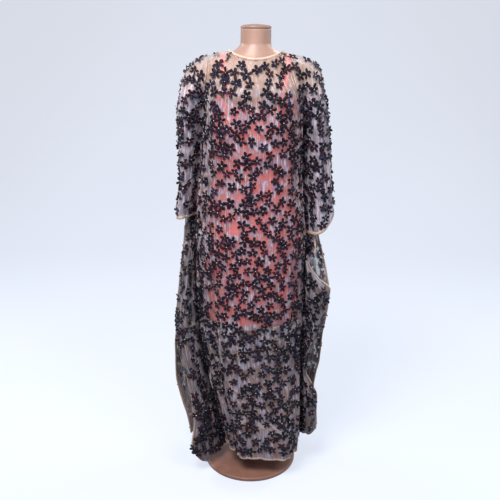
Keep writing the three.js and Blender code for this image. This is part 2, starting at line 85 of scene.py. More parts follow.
WING = {
    "leftBack": rows(
        "z edge stand deep",
        [1010, -214, -14, 34], [930, -219, -18, 42], [860, -222, -22, 48], [742, -236, -20, 54], [642, -247, -22, 60],
        [531, -257, -30, 64], [457, -250, -46, 60], [401, -234, -62, 54], [345, -216, -74, 50], [268, -200, -92, 42],
        [190, -191, -106, 38], [120, -198, -114, 36], [30, -204, -118, 34],
    ),
    "leftFront": rows(
        "z edge stand deep",
        [1010, -212, 10, 34], [930, -216, 10, 44], [860, -219, 10, 50], [742, -232, 8, 56], [642, -243, 6, 62],
        [531, -255, 6, 66], [436, -263, 8, 68], [320, -262, 12, 66], [221, -244, 18, 60], [147, -225, 24, 54],
        [60, -212, 30, 50],
    ),
    "rightBack": rows(
        "z edge stand deep",
        [1010, 190, -22, 30], [930, 192, -26, 34], [861, 196, -30, 36], [804, 202, -44, 38], [764, 182, -50, 30],
        [712, 212, -48, 42], [665, 256, -40, 56], [629, 254, -30, 60], [557, 243, -34, 56], [520, 234, -44, 52],
        [463, 208, -54, 40], [368, 187, -46, 26], [310, 210, -30, 34], [252, 231, -22, 44], [131, 230, -26, 46],
        [60, 226, -28, 44],
    ),
    "rightFront": rows(
        "z edge stand deep",
        [1010, 198, 8, 36], [930, 204, 8, 44], [887, 208, 8, 48], [843, 213, 10, 52], [774, 232, 10, 56],
        [703, 248, 8, 60], [656, 256, 8, 62], [595, 256, 10, 62], [494, 243, 12, 60], [387, 236, 12, 58],
        [328, 225, 10, 56], [276, 220, 8, 56], [208, 230, 8, 58], [139, 236, 8, 60], [60, 232, 10, 60],
    ),
}
SLIP = rows(
    "z half back front square",
    [1330, 134, 104, 94, 2.2], [1300, 135, 105, 97, 2.2], [1200, 133.5, 106, 113, 2.2], [1150, 132, 103.5, 118, 2.2],
    [1050, 130, 98, 106, 2.2], [950, 146, 105, 104, 2.2], [860, 157, 114.5, 106, 2.2], [760, 158, 114, 107, 2.2],
    [650, 157, 113, 109, 2.2], [540, 155, 113, 110, 2.2],
)
SLIP_TOP = rows("at back front", [0, 1256, 1262], [0.3, 1266, 1268], [0.62, 1295, 1289], [0.8, 1271, 1266], [1, 1256, 1256])
STRAP = [
    (-1, 80, 1284, 0), (-1, 84, 1312, 0), (-1, 88, 1335, 0), (-1, 92, 1358, 0), (-1, 96, 1378, 0), (0, 98, 0, -45), (0, 99, 0, -28),
    (0, 99, 0, -12), (0, 99, 0, 0), (0, 99, 0, 12), (0, 99, 0, 26), (0, 98.5, 0, 38), (1, 96, 1372, 0), (1, 89, 1336, 0), (1, 80, 1279, 0),
]
TORSO = rows(
    "z half back front square",
    [1486, 46, 46, 46, 2], [1445, 46.5, 48, 46, 2], [1428, 58, 54, 50, 2], [1412, 88, 62, 56, 1.8], [1397, 130, 71, 62, 1.65],
    [1380, 162, 80, 67, 1.6], [1360, 181, 87, 73, 1.6], [1342, 187, 91, 77, 1.65], [1330, 184, 93, 80, 1.7],
    [1320, 149, 95, 84, 1.9], [1280, 134, 99, 90, 2.2], [1200, 128.5, 101, 107, 2.2], [1150, 127, 98, 112.5, 2.2],
    [1050, 118, 88, 94, 2.2], [950, 138, 98, 96, 2.2], [860, 150, 108, 99, 2.2], [775, 149, 103, 97, 2.2],
    [738, 143, 97, 92, 2.2], [722, 130, 86, 82, 2.2],
)

# The large folds of the solids: across, across at the end, top height, end height, half width, depth (minus is a trough).
BODY_FOLDS = {
    -1: [(-0.46, -0.55, 800, 60, 0.085, -17), (0.72, 0.80, 700, 60, 0.06, 7), (0.56, 0.60, 560, 60, 0.06, -6),
         (-0.1, -0.05, 900, 60, 0.12, -6), (0.22, 0.3, 1050, 60, 0.11, 6), (-0.28, -0.3, 640, 60, 0.08, 6)],
    1: [(-0.5, -0.55, 900, 60, 0.085, -13), (0.56, 0.62, 980, 60, 0.08, -12), (0, 0.04, 1080, 60, 0.12, -7),
        (0.3, 0.28, 1000, 60, 0.09, 8), (-0.26, -0.3, 1040, 60, 0.09, 8)],
}
SLEEVE_FOLDS = {
    -1: [(0.42, 0.34, 1300, 860, 0.08, -9), (0.7, 0.74, 1200, 860, 0.08, -7), (2.4, 2.36, 1290, 860, 0.09, -9),
         (2.7, 2.74, 1180, 860, 0.08, -6)],
    1: [(0.3, 0.26, 1290, 820, 0.08, -8), (0.62, 0.58, 1240, 820, 0.09, -8), (2.36, 2.4, 1300, 860, 0.09, -9),
        (2.72, 2.66, 1160, 860, 0.08, -7)],
}
WING_FOLDS = {
    "leftBack": [(0.3, 0.42, 840, 30, 0.1, -15), (0.68, 0.7, 700, 30, 0.1, -9)],
    "leftFront": [(0.34, 0.38, 880, 60, 0.1, -14), (0.7, 0.66, 760, 60, 0.1, -10)],
    "rightBack": [(0.4, 0.46, 720, 60, 0.12, -11)],
    "rightFront": [(0.36, 0.4, 880, 60, 0.1, -14), (0.7, 0.68, 800, 60, 0.1, -10)],
}
# Smaller creases that only show on the cloth: the same columns, fading out at both ends.
BODY_CREASES = {
    -1: [(-0.90, -0.84, 1345, 900, 0.035, -3.5), (-0.76, -0.72, 1290, 640, 0.04, 3), (-0.66, -0.74, 1010, 60, 0.035, -5),
         (-0.60, -0.63, 700, 60, 0.03, 5), (-0.40, -0.44, 1190, 620, 0.045, 2.5), (-0.36, -0.38, 560, 60, 0.028, -5.5),
         (-0.18, -0.13, 1250, 760, 0.05, -2.5), (-0.02, 0.02, 780, 240, 0.04, 3), (0.08, 0.12, 1100, 520, 0.035, -2.6),
         (0.02, -0.02, 430, 60, 0.035, -4.5), (0.18, 0.20, 400, 60, 0.03, -3.5), (0.36, 0.39, 1190, 60, 0.04, -3.4),
         (0.47, 0.46, 860, 60, 0.03, 4), (0.64, 0.69, 1090, 60, 0.03, -4.5), (0.86, 0.86, 1330, 430, 0.032, 3),
         (0.93, 0.92, 1080, 60, 0.026, -4), (-0.93, -0.90, 860, 60, 0.035, 4), (-0.82, -0.80, 560, 60, 0.03, -5),
         (0.75, 0.73, 480, 60, 0.025, -3.5), (-0.17, -0.2, 480, 60, 0.03, -3), (0.84, 0.81, 1010, 60, 0.018, 3.4),
         (0.905, 0.89, 900, 60, 0.016, 3.0), (-0.985, -0.97, 1330, 640, 0.03, -5), (0.6, 0.63, 1290, 940, 0.018, 2.4)],
    1: [(-0.88, -0.84, 1330, 820, 0.035, -3.5), (-0.72, -0.68, 1280, 560, 0.04, 3), (-0.64, -0.70, 980, 60, 0.035, -5),
        (-0.42, -0.40, 1180, 420, 0.04, -3), (-0.14, -0.10, 1240, 700, 0.05, 2.6), (0.10, 0.14, 1050, 60, 0.035, -4),
        (0.20, 0.18, 560, 60, 0.03, -4), (0.42, 0.44, 1210, 380, 0.04, -3), (0.50, 0.48, 620, 60, 0.03, 5),
        (0.74, 0.70, 1100, 60, 0.035, -4), (0.88, 0.86, 1300, 420, 0.035, 3), (-0.3, -0.34, 460, 60, 0.03, -4.5),
        (-0.94, -0.9, 900, 60, 0.035, 3.6)],
}
SLEEVE_CREASES = {
    -1: [(0.18, 0.2, 1330, 930, 0.05, -4), (0.30, 0.42, 1240, 900, 0.045, 4), (0.55, 0.50, 1320, 940, 0.04, -4),
         (0.62, 0.62, 1160, 860, 0.04, 4), (0.84, 0.80, 1280, 860, 0.04, -4.5), (2.2, 2.24, 1300, 900, 0.05, -4),
         (2.55, 2.5, 1250, 860, 0.05, 4), (2.84, 2.8, 1300, 860, 0.04, -4)],
    1: [(0.16, 0.12, 1330, 900, 0.05, -4), (0.44, 0.40, 1290, 880, 0.045, 4.5), (0.52, 0.48, 1180, 860, 0.035, -4),
        (0.78, 0.84, 1330, 880, 0.045, -5), (0.70, 0.70, 1120, 860, 0.035, 4), (2.2, 2.24, 1310, 900, 0.05, -4),
        (2.52, 2.55, 1240, 860, 0.05, 4), (2.86, 2.8, 1290, 860, 0.04, -4)],
}
WING_CREASES = {
    "leftBack": [(0.16, 0.2, 900, 60, 0.06, 4), (0.48, 0.55, 780, 40, 0.05, 6), (0.84, 0.84, 760, 60, 0.05, -5),
                 (0.56, 0.6, 420, 30, 0.04, -5)],
    "leftFront": [(0.18, 0.2, 900, 60, 0.06, 4), (0.52, 0.5, 820, 60, 0.05, 6), (0.84, 0.86, 700, 60, 0.05, -5)],
    "rightBack": [(0.2, 0.22, 880, 60, 0.06, -5), (0.62, 0.6, 860, 340, 0.06, 6), (0.78, 0.74, 640, 120, 0.05, -6)],
    "rightFront": [(0.2, 0.22, 900, 60, 0.06, 4), (0.54, 0.52, 820, 60, 0.05, 6), (0.86, 0.84, 740, 60, 0.05, -5)],
}


# ---------------------------------------------------------------- small maths
def mix(a, b, t):
    return a + (b - a) * t


def smooth(t):
    c = np.clip(t, 0, 1)
    return c * c * (3 - 2 * c)


def quarter(t):
    c = np.clip(t, 0, 1)
    return np.sqrt(1 - (1 - c) ** 2)


def signed_power(v, p):
    return np.sign(v) * np.abs(v) ** p


def at(t, key, x):
    """A smooth curve without overshoot through a table's column."""
    xs, ys = t["by"], t[key]
    h = np.diff(xs)
    sec = np.diff(ys) / h
    slope = np.empty(len(xs))
    slope[0], slope[-1] = sec[0], sec[-1]
    a, b = sec[:-1], sec[1:]
    same = a * b > 0
    slope[1:-1] = np.where(same, 2 * a * b / np.where(same, a + b, 1), 0)
    x = np.clip(x, xs[0], xs[-1])
    i = np.clip(np.searchsorted(xs, x, side="right") - 1, 0, len(xs) - 2)
    s = (x - xs[i]) / h[i]
    return (
        (1 + 2 * s) * (1 - s) ** 2 * ys[i] + s * (1 - s) ** 2 * h[i] * slope[i]
        + s * s * (3 - 2 * s) * ys[i + 1] - s * s * (1 - s) * h[i] * slope[i + 1]
    )


def fold_depth(folds, across, z):
    d = 0.0
    for start, end, top, low, wide, deep in folds:
        run = np.clip((top - z) / (top - low), 0, 1)
        d = d + deep * smooth((top - z) / 160) * np.exp(-(((across - mix(start, end, run)) / wide) ** 2))
    return d


def crease_depth(folds, across, z):
    d = 0.0
    for k, (start, end, top, low, wide, deep) in enumerate(folds):
        run = np.clip((top - z) / (top - low), 0, 1)
        fade = smooth((top - z) / 130) * (smooth((z - low) / 140) if low > 100 else 1)
        sway = 0.35 * wide * np.sin(z / 61 + 2.1 * k) + 0.2 * wide * np.sin(z / 23 + 1.3 * k)
        d = d + deep * fade * np.exp(-(((across - mix(start, end, run) - sway) / wide) ** 2))
    return d


def hashed(i, j, seed):
    v = np.sin(i * 127.1 + j * 311.7 + seed * 74.7) * 43758.5453
    return v - np.floor(v)


def noise(x, y, seed):
    """Smooth value noise from -1 to 1."""
    x, y = np.broadcast_arrays(np.asarray(x, float), np.asarray(y, float))
    i, j = np.floor(x), np.floor(y)
    fx, fy = x - i, y - j
    fx, fy = fx * fx * (3 - 2 * fx), fy * fy * (3 - 2 * fy)
    a, b = hashed(i, j, seed), hashed(i + 1, j, seed)
    c, d = hashed(i, j + 1, seed), hashed(i + 1, j + 1, seed)
    return 2 * mix(mix(a, b, fx), mix(c, d, fx), fy) - 1


# ---------------------------------------------------------------- cloth surfaces, each a function of (u, v)
def body_top(side, u):
    x = SHOULDER_END_X * u
    s = np.clip(np.abs(x) / NECK_HALF_WIDTH, 0, 1)
    ring = np.sqrt(1 - s * s)
    if side < 0:
        y, z = -75 * ring - 0.8, mix(NECK_BACK_Z, NECK_SIDE_Z, s * s)
    else:
        y, z = 92 * ring**0.6 + 0.8, NECK_SIDE_Z - (NECK_SIDE_Z - NECK_FRONT_Z) * ring**1.5
    outside = np.abs(x) >= NECK_HALF_WIDTH
    return x, np.where(outside, side * 0.8, y), np.where(outside, at(SHOULDER, "z", np.abs(x)), z)


def body_section(side, u, z):
    left, right = at(BODY, "left", z), at(BODY, "right", z)
    edge = np.maximum(0.4, at(BODY, "sideBack" if side < 0 else "sideFront", z) - 1)
    deep = at(BODY, "back" if side < 0 else "front", z)
    full, a = smooth((1375 - z) / 90), u * math.pi / 2
    # towards the hem the back's right corner gets squarer
    p = mix(0.86, 0.52, (smooth((430 - z) / 310) * smooth(u / 0.3)) if side < 0 else 0.0)
    sx = mix(u, signed_power(np.sin(a), p), full)
    sy = np.abs(np.cos(a)) ** mix(1, p, full)
    return (left + right) / 2 + (right - left) / 2 * sx, side * mix(edge, deep, sy)


def body_point(side, u, v, creases=True):
    tx0, ty0, tz0 = body_top(side, u)
    z = mix(tz0, HEM_Z + 6 * np.abs(u) ** 3 - 4 * np.sin(2.3 * u + side), v)
    sx, sy = body_section(side, u, z)
    reach = mix(110, 60, smooth((np.abs(tx0) - 60) / 60))
    g = quarter((tz0 - z) / reach)
    x0, y0 = body_section(side, np.clip(u - 0.01, -1, 1), z)
    x1, y1 = body_section(side, np.clip(u + 0.01, -1, 1), z)
    tx, ty = x1 - x0, y1 - y0
    tl = np.hypot(tx, ty)
    d = fold_depth(BODY_FOLDS[side], u, z)
    if creases:
        d = d + crease_depth(BODY_CREASES[side], u, z) * smooth((1 - np.abs(u)) / 0.05)
    x = mix(tx0, sx, smooth((tz0 - z) / 60)) - side * ty / tl * d
    y = ty0 + (sy - ty0) * g + side * tx / tl * d
    return np.stack(np.broadcast_arrays(x, y, z), -1)


def sleeve_depth(hand, side, q, z, creases=True):
    edge = np.maximum(4.5, at(BODY, "sideBack" if side < 0 else "sideFront", z) - 1)
    across = q if side < 0 else 2 + q
    f = fold_depth(SLEEVE_FOLDS[hand], across, z)
    if creases:
        f = f + crease_depth(SLEEVE_CREASES[hand], across, z)
    rise = smooth(q / (0.5 if hand < 0 else 0.3))
    return edge * (1 - q) + (at(SLEEVE, "deep", z) + f) * rise * np.sqrt(np.maximum(0, 1 - q**2.4))


def sleeve_half(hand, side, q, v, creases=True):
    key = "left" if hand < 0 else "right"
    share = 1 if hand < 0 else RIGHT_TIP_SHARE
    fx = np.sin(q * math.pi / 2)
    x_top = mix(hand * (SHOULDER_END_X + 0.8), hand * SHOULDER_TIP_X * share, fx)
    z_top = at(SHOULDER, "z", np.abs(x_top) / share) - 0.2
    z = mix(z_top, at(CUFF, key + ("Back" if side < 0 else "Front"), q), v)
    start = at(BODY, key, z) + hand * mix(0.8, 2.2, smooth((1400 - z) / 60))
    y = side * sleeve_depth(hand, side, q, z, creases) * quarter((z_top - z) / 55)
    return np.stack(np.broadcast_arrays(mix(start, at(SLEEVE, key, z), fx), y, z), -1)


def sleeve_point(hand, u, v, creases=True):
    u, v = np.broadcast_arrays(u, v)
    back = sleeve_half(hand, -1, np.clip(u, 0, 1), v, creases)
    front = sleeve_half(hand, 1, np.clip(2 - u, 0, 1), v, creases)
    return np.where((u <= 1)[..., None], back, front)


def wing_point(hand, side, q, v, creases=True):
    key = ("left" if hand < 0 else "right") + ("Back" if side < 0 else "Front")
    key0 = "left" if hand < 0 else "right"
    t = WING[key]
    z_end = {
        "leftBack": 62 + 30 * smooth((q - 0.6) / 0.4) - 26 * np.sin(math.pi * q**0.9), "leftFront": 80 - 8 * q,
        "rightBack": 120 + 4 * q, "rightFront": 104 + 6 * q,
    }[key]
    z = mix(mix(1010, 950, q**0.8), z_end, v)
    start = at(BODY, key0, z) + hand * (1.6 + mix(0.6, 2, smooth((480 - z) / 120)))
    edge, stand, deep = at(t, "edge", z), at(t, "stand", z), at(t, "deep", z)
    f = fold_depth(WING_FOLDS[key], q, z)
    if creases:
        f = f + crease_depth(WING_CREASES[key], q, z)
    x = mix(start, edge, q)
    bulge = np.abs(np.sin(math.pi * q**0.85)) ** 0.9
    own = side * 1.5 + (stand - side * 1.5) * smooth(q) + side * (deep + f * smooth(q * 4) * smooth((1 - q) * 4)) * bulge
    side2 = np.where(own < 0, -1, 1)
    outer = at(SLEEVE, key0, z)
    qs = np.arcsin(np.clip((x - start) / (outer - start), 0, 1)) * 2 / math.pi
    within = smooth((z - at(CUFF, key, qs) + 130) / 80)
    depth = np.where(side2 < 0, sleeve_depth(hand, -1, qs, z, False), sleeve_depth(hand, 1, qs, z, False))
    y = mix(own, side2 * np.minimum(np.abs(own), np.maximum(1.5, 0.5 * depth - 1)), within)
    return np.stack(np.broadcast_arrays(x, y, z), -1)


def oval_point(table, a, z):
    p = 2 / at(table, "square", z)
    c, s = np.cos(a), np.sin(a)
    depth = np.where(s < 0, at(table, "back", z), at(table, "front", z))
    return np.stack(np.broadcast_arrays(at(table, "half", z) * signed_power(c, p), depth * signed_power(s, p), z), -1)


def torso_depth(side, x, z):
    n = at(TORSO, "square", z)
    inside = 1 - (abs(x) / at(TORSO, "half", z)) ** n
    return 0.0 if inside <= 0 else float(at(TORSO, "back" if side < 0 else "front", z) * inside ** (1 / n))


def torso_top(x, y):
    low, high = 1345.0, 1425.0
    for _ in range(30):
        z = (low + high) / 2
        if torso_depth(y, x, z) > abs(y) + 0.01:
            low = z
        else:
            high = z
    return low


SLIP_FOLDS = {
    -1: [(-0.62, -0.66, 900, 400, 0.07, -2.2), (-0.2, -0.16, 1000, 400, 0.09, 2.0), (0.28, 0.34, 880, 400, 0.07, -2.4),
         (0.7, 0.72, 960, 400, 0.06, 2.0), (0.02, 0.05, 760, 400, 0.05, -1.8), (0.52, 0.5, 720, 400, 0.05, 1.8)],
    1: [(-0.5, -0.54, 950, 400, 0.08, -2.2), (-0.1, -0.12, 900, 400, 0.08, 2.0), (0.34, 0.3, 980, 400, 0.07, -2.2),
        (0.7, 0.74, 860, 400, 0.06, 2.0)],
}


def slip_point(side, u, v):
    key = "back" if side < 0 else "front"
    z = mix(at(SLIP_TOP, key, np.abs(u)), SLIP_HEM_Z + 1.5 * np.sin(5 * u + side), v)
    a, p = u * math.pi / 2, 2 / at(SLIP, "square", z)
    d = fold_depth(SLIP_FOLDS[side], u, z) * smooth((1 - np.abs(u)) / 0.1)
    y = side * (0.4 + (at(SLIP, key, z) + d) * np.abs(np.cos(a)) ** p)
    return np.stack(np.broadcast_arrays(at(SLIP, "half", z) * signed_power(np.sin(a), p), y, z), -1)


# ---------------------------------------------------------------- grids and meshes
def normals_of(g, wrap=False):
    """Unit normals of a grid of points, columns first."""
    if wrap:
        di = np.roll(g, -1, 0) - np.roll(g, 1, 0)
    else:
        di = np.empty_like(g)
        di[1:-1] = g[2:] - g[:-2]
        di[0], di[-1] = g[1] - g[0], g[-1] - g[-2]
    dj = np.empty_like(g)
    dj[:, 1:-1] = g[:, 2:] - g[:, :-2]
    dj[:, 0], dj[:, -1] = g[:, 1] - g[:, 0], g[:, -1] - g[:, -2]
    n = np.cross(di, dj)
    return n / np.maximum(np.linalg.norm(n, axis=-1, keepdims=True), 1e-12)


def even_columns(g, count):
    """Each column of a dense grid again, with count points at even distances along it."""
    out = np.empty((g.shape[0], count, 3))
    for i, col in enumerate(g):
        s = np.concatenate([[0], np.cumsum(np.linalg.norm(np.diff(col, axis=0), axis=1))])
        t = np.linspace(0, s[-1], count)
        for k in range(3):
            out[i, :, k] = np.interp(t, s, col[:, k])
    return out


def make_mesh(name, points, faces, uv=None, material=None, extra=None, extra_faces=None):
    """A mesh object from points in metres and a list of face arrays. extra is a second material for extra_faces."""
    groups = [np.asarray(f, np.int32) for f in faces if len(f)]
    second = [np.asarray(f, np.int32) for f in (extra_faces or []) if len(f)]
    every = groups + second
    loops = np.concatenate([f.reshape(-1) for f in every])
    totals = np.concatenate([np.full(len(f), f.shape[1], np.int32) for f in every])
    starts = np.concatenate([[0], np.cumsum(totals)[:-1]]).astype(np.int32)
    me = bpy.data.meshes.new(name)
    me.vertices.add(len(points))
    me.vertices.foreach_set("co", np.asarray(points, np.float32).reshape(-1))
    me.loops.add(len(loops))
    me.loops.foreach_set("vertex_index", loops)
    me.polygons.add(len(totals))
    me.polygons.foreach_set("loop_start", starts)
    me.polygons.foreach_set("loop_total", totals)
    me.polygons.foreach_set("use_smooth", np.ones(len(totals), bool))
    if material is not None:
        me.materials.append(material)
    if extra is not None:
        me.materials.append(extra)
        index = np.concatenate([np.zeros(sum(len(f) for f in groups), np.int32), np.ones(sum(len(f) for f in second), np.int32)])
        me.polygons.foreach_set("material_index", index)
    if uv is not None:
        layer = me.uv_layers.new(name="UVMap")
        layer.data.foreach_set("uv", np.asarray(uv, np.float32)[loops].reshape(-1))
    me.update(calc_edges=True)
    me.validate()
    ob = bpy.data.objects.new(name, me)
    bpy.context.scene.collection.objects.link(ob)
    return ob


def grid_faces(n, m, start=0, wrap_i=False, wrap_j=False):
    i = np.arange(n if wrap_i else n - 1)
    j = np.arange(m if wrap_j else m - 1)
    a, b = np.meshgrid(i, j, indexing="ij")
    a2, b2 = (a + 1) % n, (b + 1) % m
    return (np.stack([a * m + b, a2 * m + b, a2 * m + b2, a * m + b2], -1).reshape(-1, 4) + start).astype(np.int32)


def metres(g):
    return np.asarray(g, float) * MM


def grid_uv(g):
    """Across and along, in metres: the distance across at mid height, and the distance down each column."""
    mid = g[:, g.shape[1] // 2]
    s = np.concatenate([[0], np.cumsum(np.linalg.norm(np.diff(mid, axis=0), axis=1))])
    t = np.concatenate([np.zeros((g.shape[0], 1)), np.cumsum(np.linalg.norm(np.diff(g, axis=1), axis=2), axis=1)], 1)
    return np.stack([np.repeat(s[:, None], g.shape[1], 1), t], -1) * MM


def area_of(g):
    """Area of a grid in square metres."""
    a, b, c, d = g[:-1, :-1], g[1:, :-1], g[1:, 1:], g[:-1, 1:]
    return float((np.linalg.norm(np.cross(b - a, c - a), axis=-1) + np.linalg.norm(np.cross(c - a, d - a), axis=-1)).sum() / 2) * MM * MM


crinkled = {}


def sheer(name, smooth_grid, outward, material, seed, still_edges=True):
    """One layer of crinkled cloth on a grid. outward is +1 if the grid's own normals point outwards."""
    n = normals_of(smooth_grid) * outward
    uv = grid_uv(smooth_grid)
    s, t = uv[..., 0] / MM, uv[..., 1] / MM
    d = 1.25 * noise(s / 11, t / 58, seed) + 1.3 * noise(s / 31, t / 120, seed + 1) + 0.5 * noise(s / 17, t / 21, seed + 2)
    calm = np.ones_like(d)
    if still_edges:
        calm = smooth(s / 12) * smooth((s.max() - s) / 12) * smooth(t / 12) * smooth((t[:, -1:] - t) / 10)
    g = smooth_grid + n * (d * (0.25 + 0.75 * calm))[..., None]
    f = grid_faces(*g.shape[:2])
    if outward < 0:
        f = f[:, ::-1]
    ob = make_mesh(name, metres(g).reshape(-1, 3), [f], uv=uv.reshape(-1, 2) + [0.37 * seed, 0.0], material=material)
    ob["flat_area"] = area_of(smooth_grid)
    ob["flat_length"] = float(uv[..., 1].max())
    crinkled[name] = g
    return ob, n


def thick_sheet(name, g, thick, material, uv_offset=0.0):
    """A closed cloth of even thickness on a grid."""
    n = normals_of(g)
    c, m = g.shape[:2]
    points = np.concatenate([(g + n * thick / 2).reshape(-1, 3), (g - n * thick / 2).reshape(-1, 3)])
    top = grid_faces(c, m)
    low = grid_faces(c, m, c * m)[:, ::-1]
    k = c * m
    i, j = np.arange(c - 1), np.arange(m - 1)
    rim = np.concatenate([
        np.stack([i * m, i * m + k, (i + 1) * m + k, (i + 1) * m], -1),
        np.stack([i * m + m - 1, (i + 1) * m + m - 1, (i + 1) * m + m - 1 + k, i * m + m - 1 + k], -1),
        np.stack([j, j + 1, j + 1 + k, j + k], -1),
        np.stack([(c - 1) * m + j, (c - 1) * m + j + k, (c - 1) * m + j + 1 + k, (c - 1) * m + j + 1], -1),
    ])
    uv = grid_uv(g).reshape(-1, 2)
    faces = outward_faces(points, [top, low, rim])
    ob = make_mesh(name, metres(points), faces, uv=np.concatenate([uv, uv]) + [uv_offset, 0], material=material)
    ob["flat_area"] = area_of(g)
    ob["flat_length"] = float(grid_uv(g)[..., 1].max())
    return ob


def outward_faces(points, faces):
    """The same faces, turned so that the closed mesh has its normals outwards."""
    volume = 0.0
    for f in faces:
        p = points[f]
        for k in range(1, f.shape[1] - 1):
            volume += float(np.einsum("ij,ij->i", p[:, 0], np.cross(p[:, k], p[:, k + 1])).sum())
    return [f[:, ::-1] for f in faces] if volume < 0 else faces


# A folded binding: its section, as (outwards from the cloth's edge, along the cloth's normal), is a narrow U.
U_SECTION = np.array([
    (-1.2, 1.5), (1.0, 1.75), (4.2, 1.75), (6.6, 1.45), (8.0, 0.75), (8.5, 0), (8.0, -0.75), (6.6, -1.45), (4.2, -1.75), (1.0, -1.75),
    (-1.2, -1.5), (-1.2, -0.95), (1.0, -1.1), (4.2, -1.1), (6.2, -0.8), (7.0, 0), (6.2, 0.8), (4.2, 1.1), (1.0, 1.1), (-1.2, 0.95),
])


def binding(name, edge, out, normal, material, loop=False, scale=1.0, width=1.0, seed=1):
    """edge: points along the cloth's edge; out and normal: unit vectors there."""
    n = len(edge)
    length = np.concatenate([[0], np.cumsum(np.linalg.norm(np.diff(edge, axis=0), axis=1))])
    wave = 0.7 * noise(length / 23, 0, seed)[:, None, None]
    section = U_SECTION * [width, scale]
    ring = edge[:, None] + out[:, None] * section[None, :, :1] + normal[:, None] * (section[None, :, 1:] + wave * (section[None, :, :1] + 3.2) / 12)
    m = len(section)
    points = ring.reshape(-1, 3)
    faces = [grid_faces(n, m, wrap_i=loop, wrap_j=True)]
    if not loop:
        half = m // 2
        for start in (0, (n - 1) * m):
            k = np.arange(half - 1)
            cap = np.stack([k + start, k + 1 + start, m - 2 - k + start, m - 1 - k + start], -1)
            faces.append(cap[:, ::-1] if start else cap)
    faces = outward_faces(points, faces)
    uv = np.stack([np.repeat(length[:, None], m, 1), np.tile(np.arange(m) * 2.0, (n, 1))], -1).reshape(-1, 2) * MM
    ob = make_mesh(name, metres(points), faces, uv=uv, material=material)
    around = np.linalg.norm(np.diff(np.vstack([section, section[:1]]), axis=0), axis=1).sum() / 2
    ob["flat_area"] = float(around * length[-1]) * MM * MM
    ob["flat_length"] = float(length[-1]) * MM
    return ob


def unit(v):
    return v / np.maximum(np.linalg.norm(v, axis=-1, keepdims=True), 1e-12)


# ---------------------------------------------------------------- flowers
def sample(g, fi, fj):
    """A grid at fractional places, going straight on past its edges."""
    i = np.clip(np.floor(fi), 0, g.shape[0] - 2).astype(int)
    j = np.clip(np.floor(fj), 0, g.shape[1] - 2).astype(int)
    a, b = (fi - i)[..., None], (fj - j)[..., None]
    return (g[i, j] * (1 - a) + g[i + 1, j] * a) * (1 - b) + (g[i, j + 1] * (1 - a) + g[i + 1, j + 1] * a) * b


def flower_places(g, rng, density, spacing, margin, seed):
    """Dart throwing: even over the surface, no two nearer than spacing. margin: distance kept from (left, right, top, bottom) edges."""
    a, b, c, d = g[:-1, :-1], g[1:, :-1], g[1:, 1:], g[:-1, 1:]
    cell = (np.linalg.norm(np.cross(b - a, c - a), axis=-1) + np.linalg.norm(np.cross(c - a, d - a), axis=-1)) / 2
    wanted = int(round(cell.sum() * MM * MM * density))
    tries = wanted * 60
    pick = rng.choice(cell.size, tries, p=(cell / cell.sum()).reshape(-1))
    fi = pick // cell.shape[1] + rng.random(tries)
    fj = pick % cell.shape[1] + rng.random(tries)
    across = np.concatenate([np.zeros((1, g.shape[1])), np.cumsum(np.linalg.norm(np.diff(g, axis=0), axis=2), axis=0)], 0)[..., None]
    down = np.concatenate([np.zeros((g.shape[0], 1)), np.cumsum(np.linalg.norm(np.diff(g, axis=1), axis=2), axis=1)], 1)[..., None]
    left, top = sample(across, fi, fj)[:, 0], sample(down, fi, fj)[:, 0]
    right = sample(across, np.full(tries, g.shape[0] - 1.0), fj)[:, 0] - left
    low = sample(down, fi, np.full(tries, g.shape[1] - 1.0))[:, 0] - top
    good = (left > margin[0]) & (right > margin[1]) & (top > margin[2]) & (low > margin[3])
    crowd = smooth((noise((left - right) / 2 / 46, top / 52, seed) + 0.55) / 0.75)
    bare = 1 - 0.62 * smooth((sample(g, fi, fj)[:, 2] - 1280) / 60)
    good &= rng.random(tries) < (0.3 + 0.7 * crowd) * bare
    fi, fj = fi[good], fj[good]
    p = sample(g, fi, fj)
    kept, keep_points = [], np.empty((wanted + 1, 3))
    for k in range(len(p)):
        near = keep_points[: len(kept)]
        if len(kept) == 0 or ((near - p[k]) ** 2).sum(1).min() > spacing * spacing:
            keep_points[len(kept)] = p[k]
            kept.append(k)
            if len(kept) >= wanted:
                break
    return fi[kept], fj[kept]


PETAL_T = np.array([0.10, 0.37, 0.67, 0.89])
PETAL_W = np.array([0.34, 0.82, 1.0, 0.70])
BEAD = np.array([(1, 0, 0), (0, 1, 0), (-1, 0, 0), (0, -1, 0), (0, 0, 1), (0, 0, -1)], float)


def bead_mesh():
    """An octahedron divided once and rounded: 18 points, 32 triangles."""
    points = [tuple(p) for p in BEAD]
    first = [(0, 1, 4), (1, 2, 4), (2, 3, 4), (3, 0, 4), (1, 0, 5), (2, 1, 5), (3, 2, 5), (0, 3, 5)]
    mids, faces = {}, []
    for a, b, c in first:
        ids = []
        for p, q in ((a, b), (b, c), (c, a)):
            key = (min(p, q), max(p, q))
            if key not in mids:
                mids[key] = len(points)
                points.append(tuple(unit(np.add(points[p], points[q]))))
            ids.append(mids[key])
        ab, bc, ca = ids
        faces += [(a, ab, ca), (ab, b, bc), (ca, bc, c), (ab, bc, ca)]
    return np.array(points), np.array(faces, np.int32)


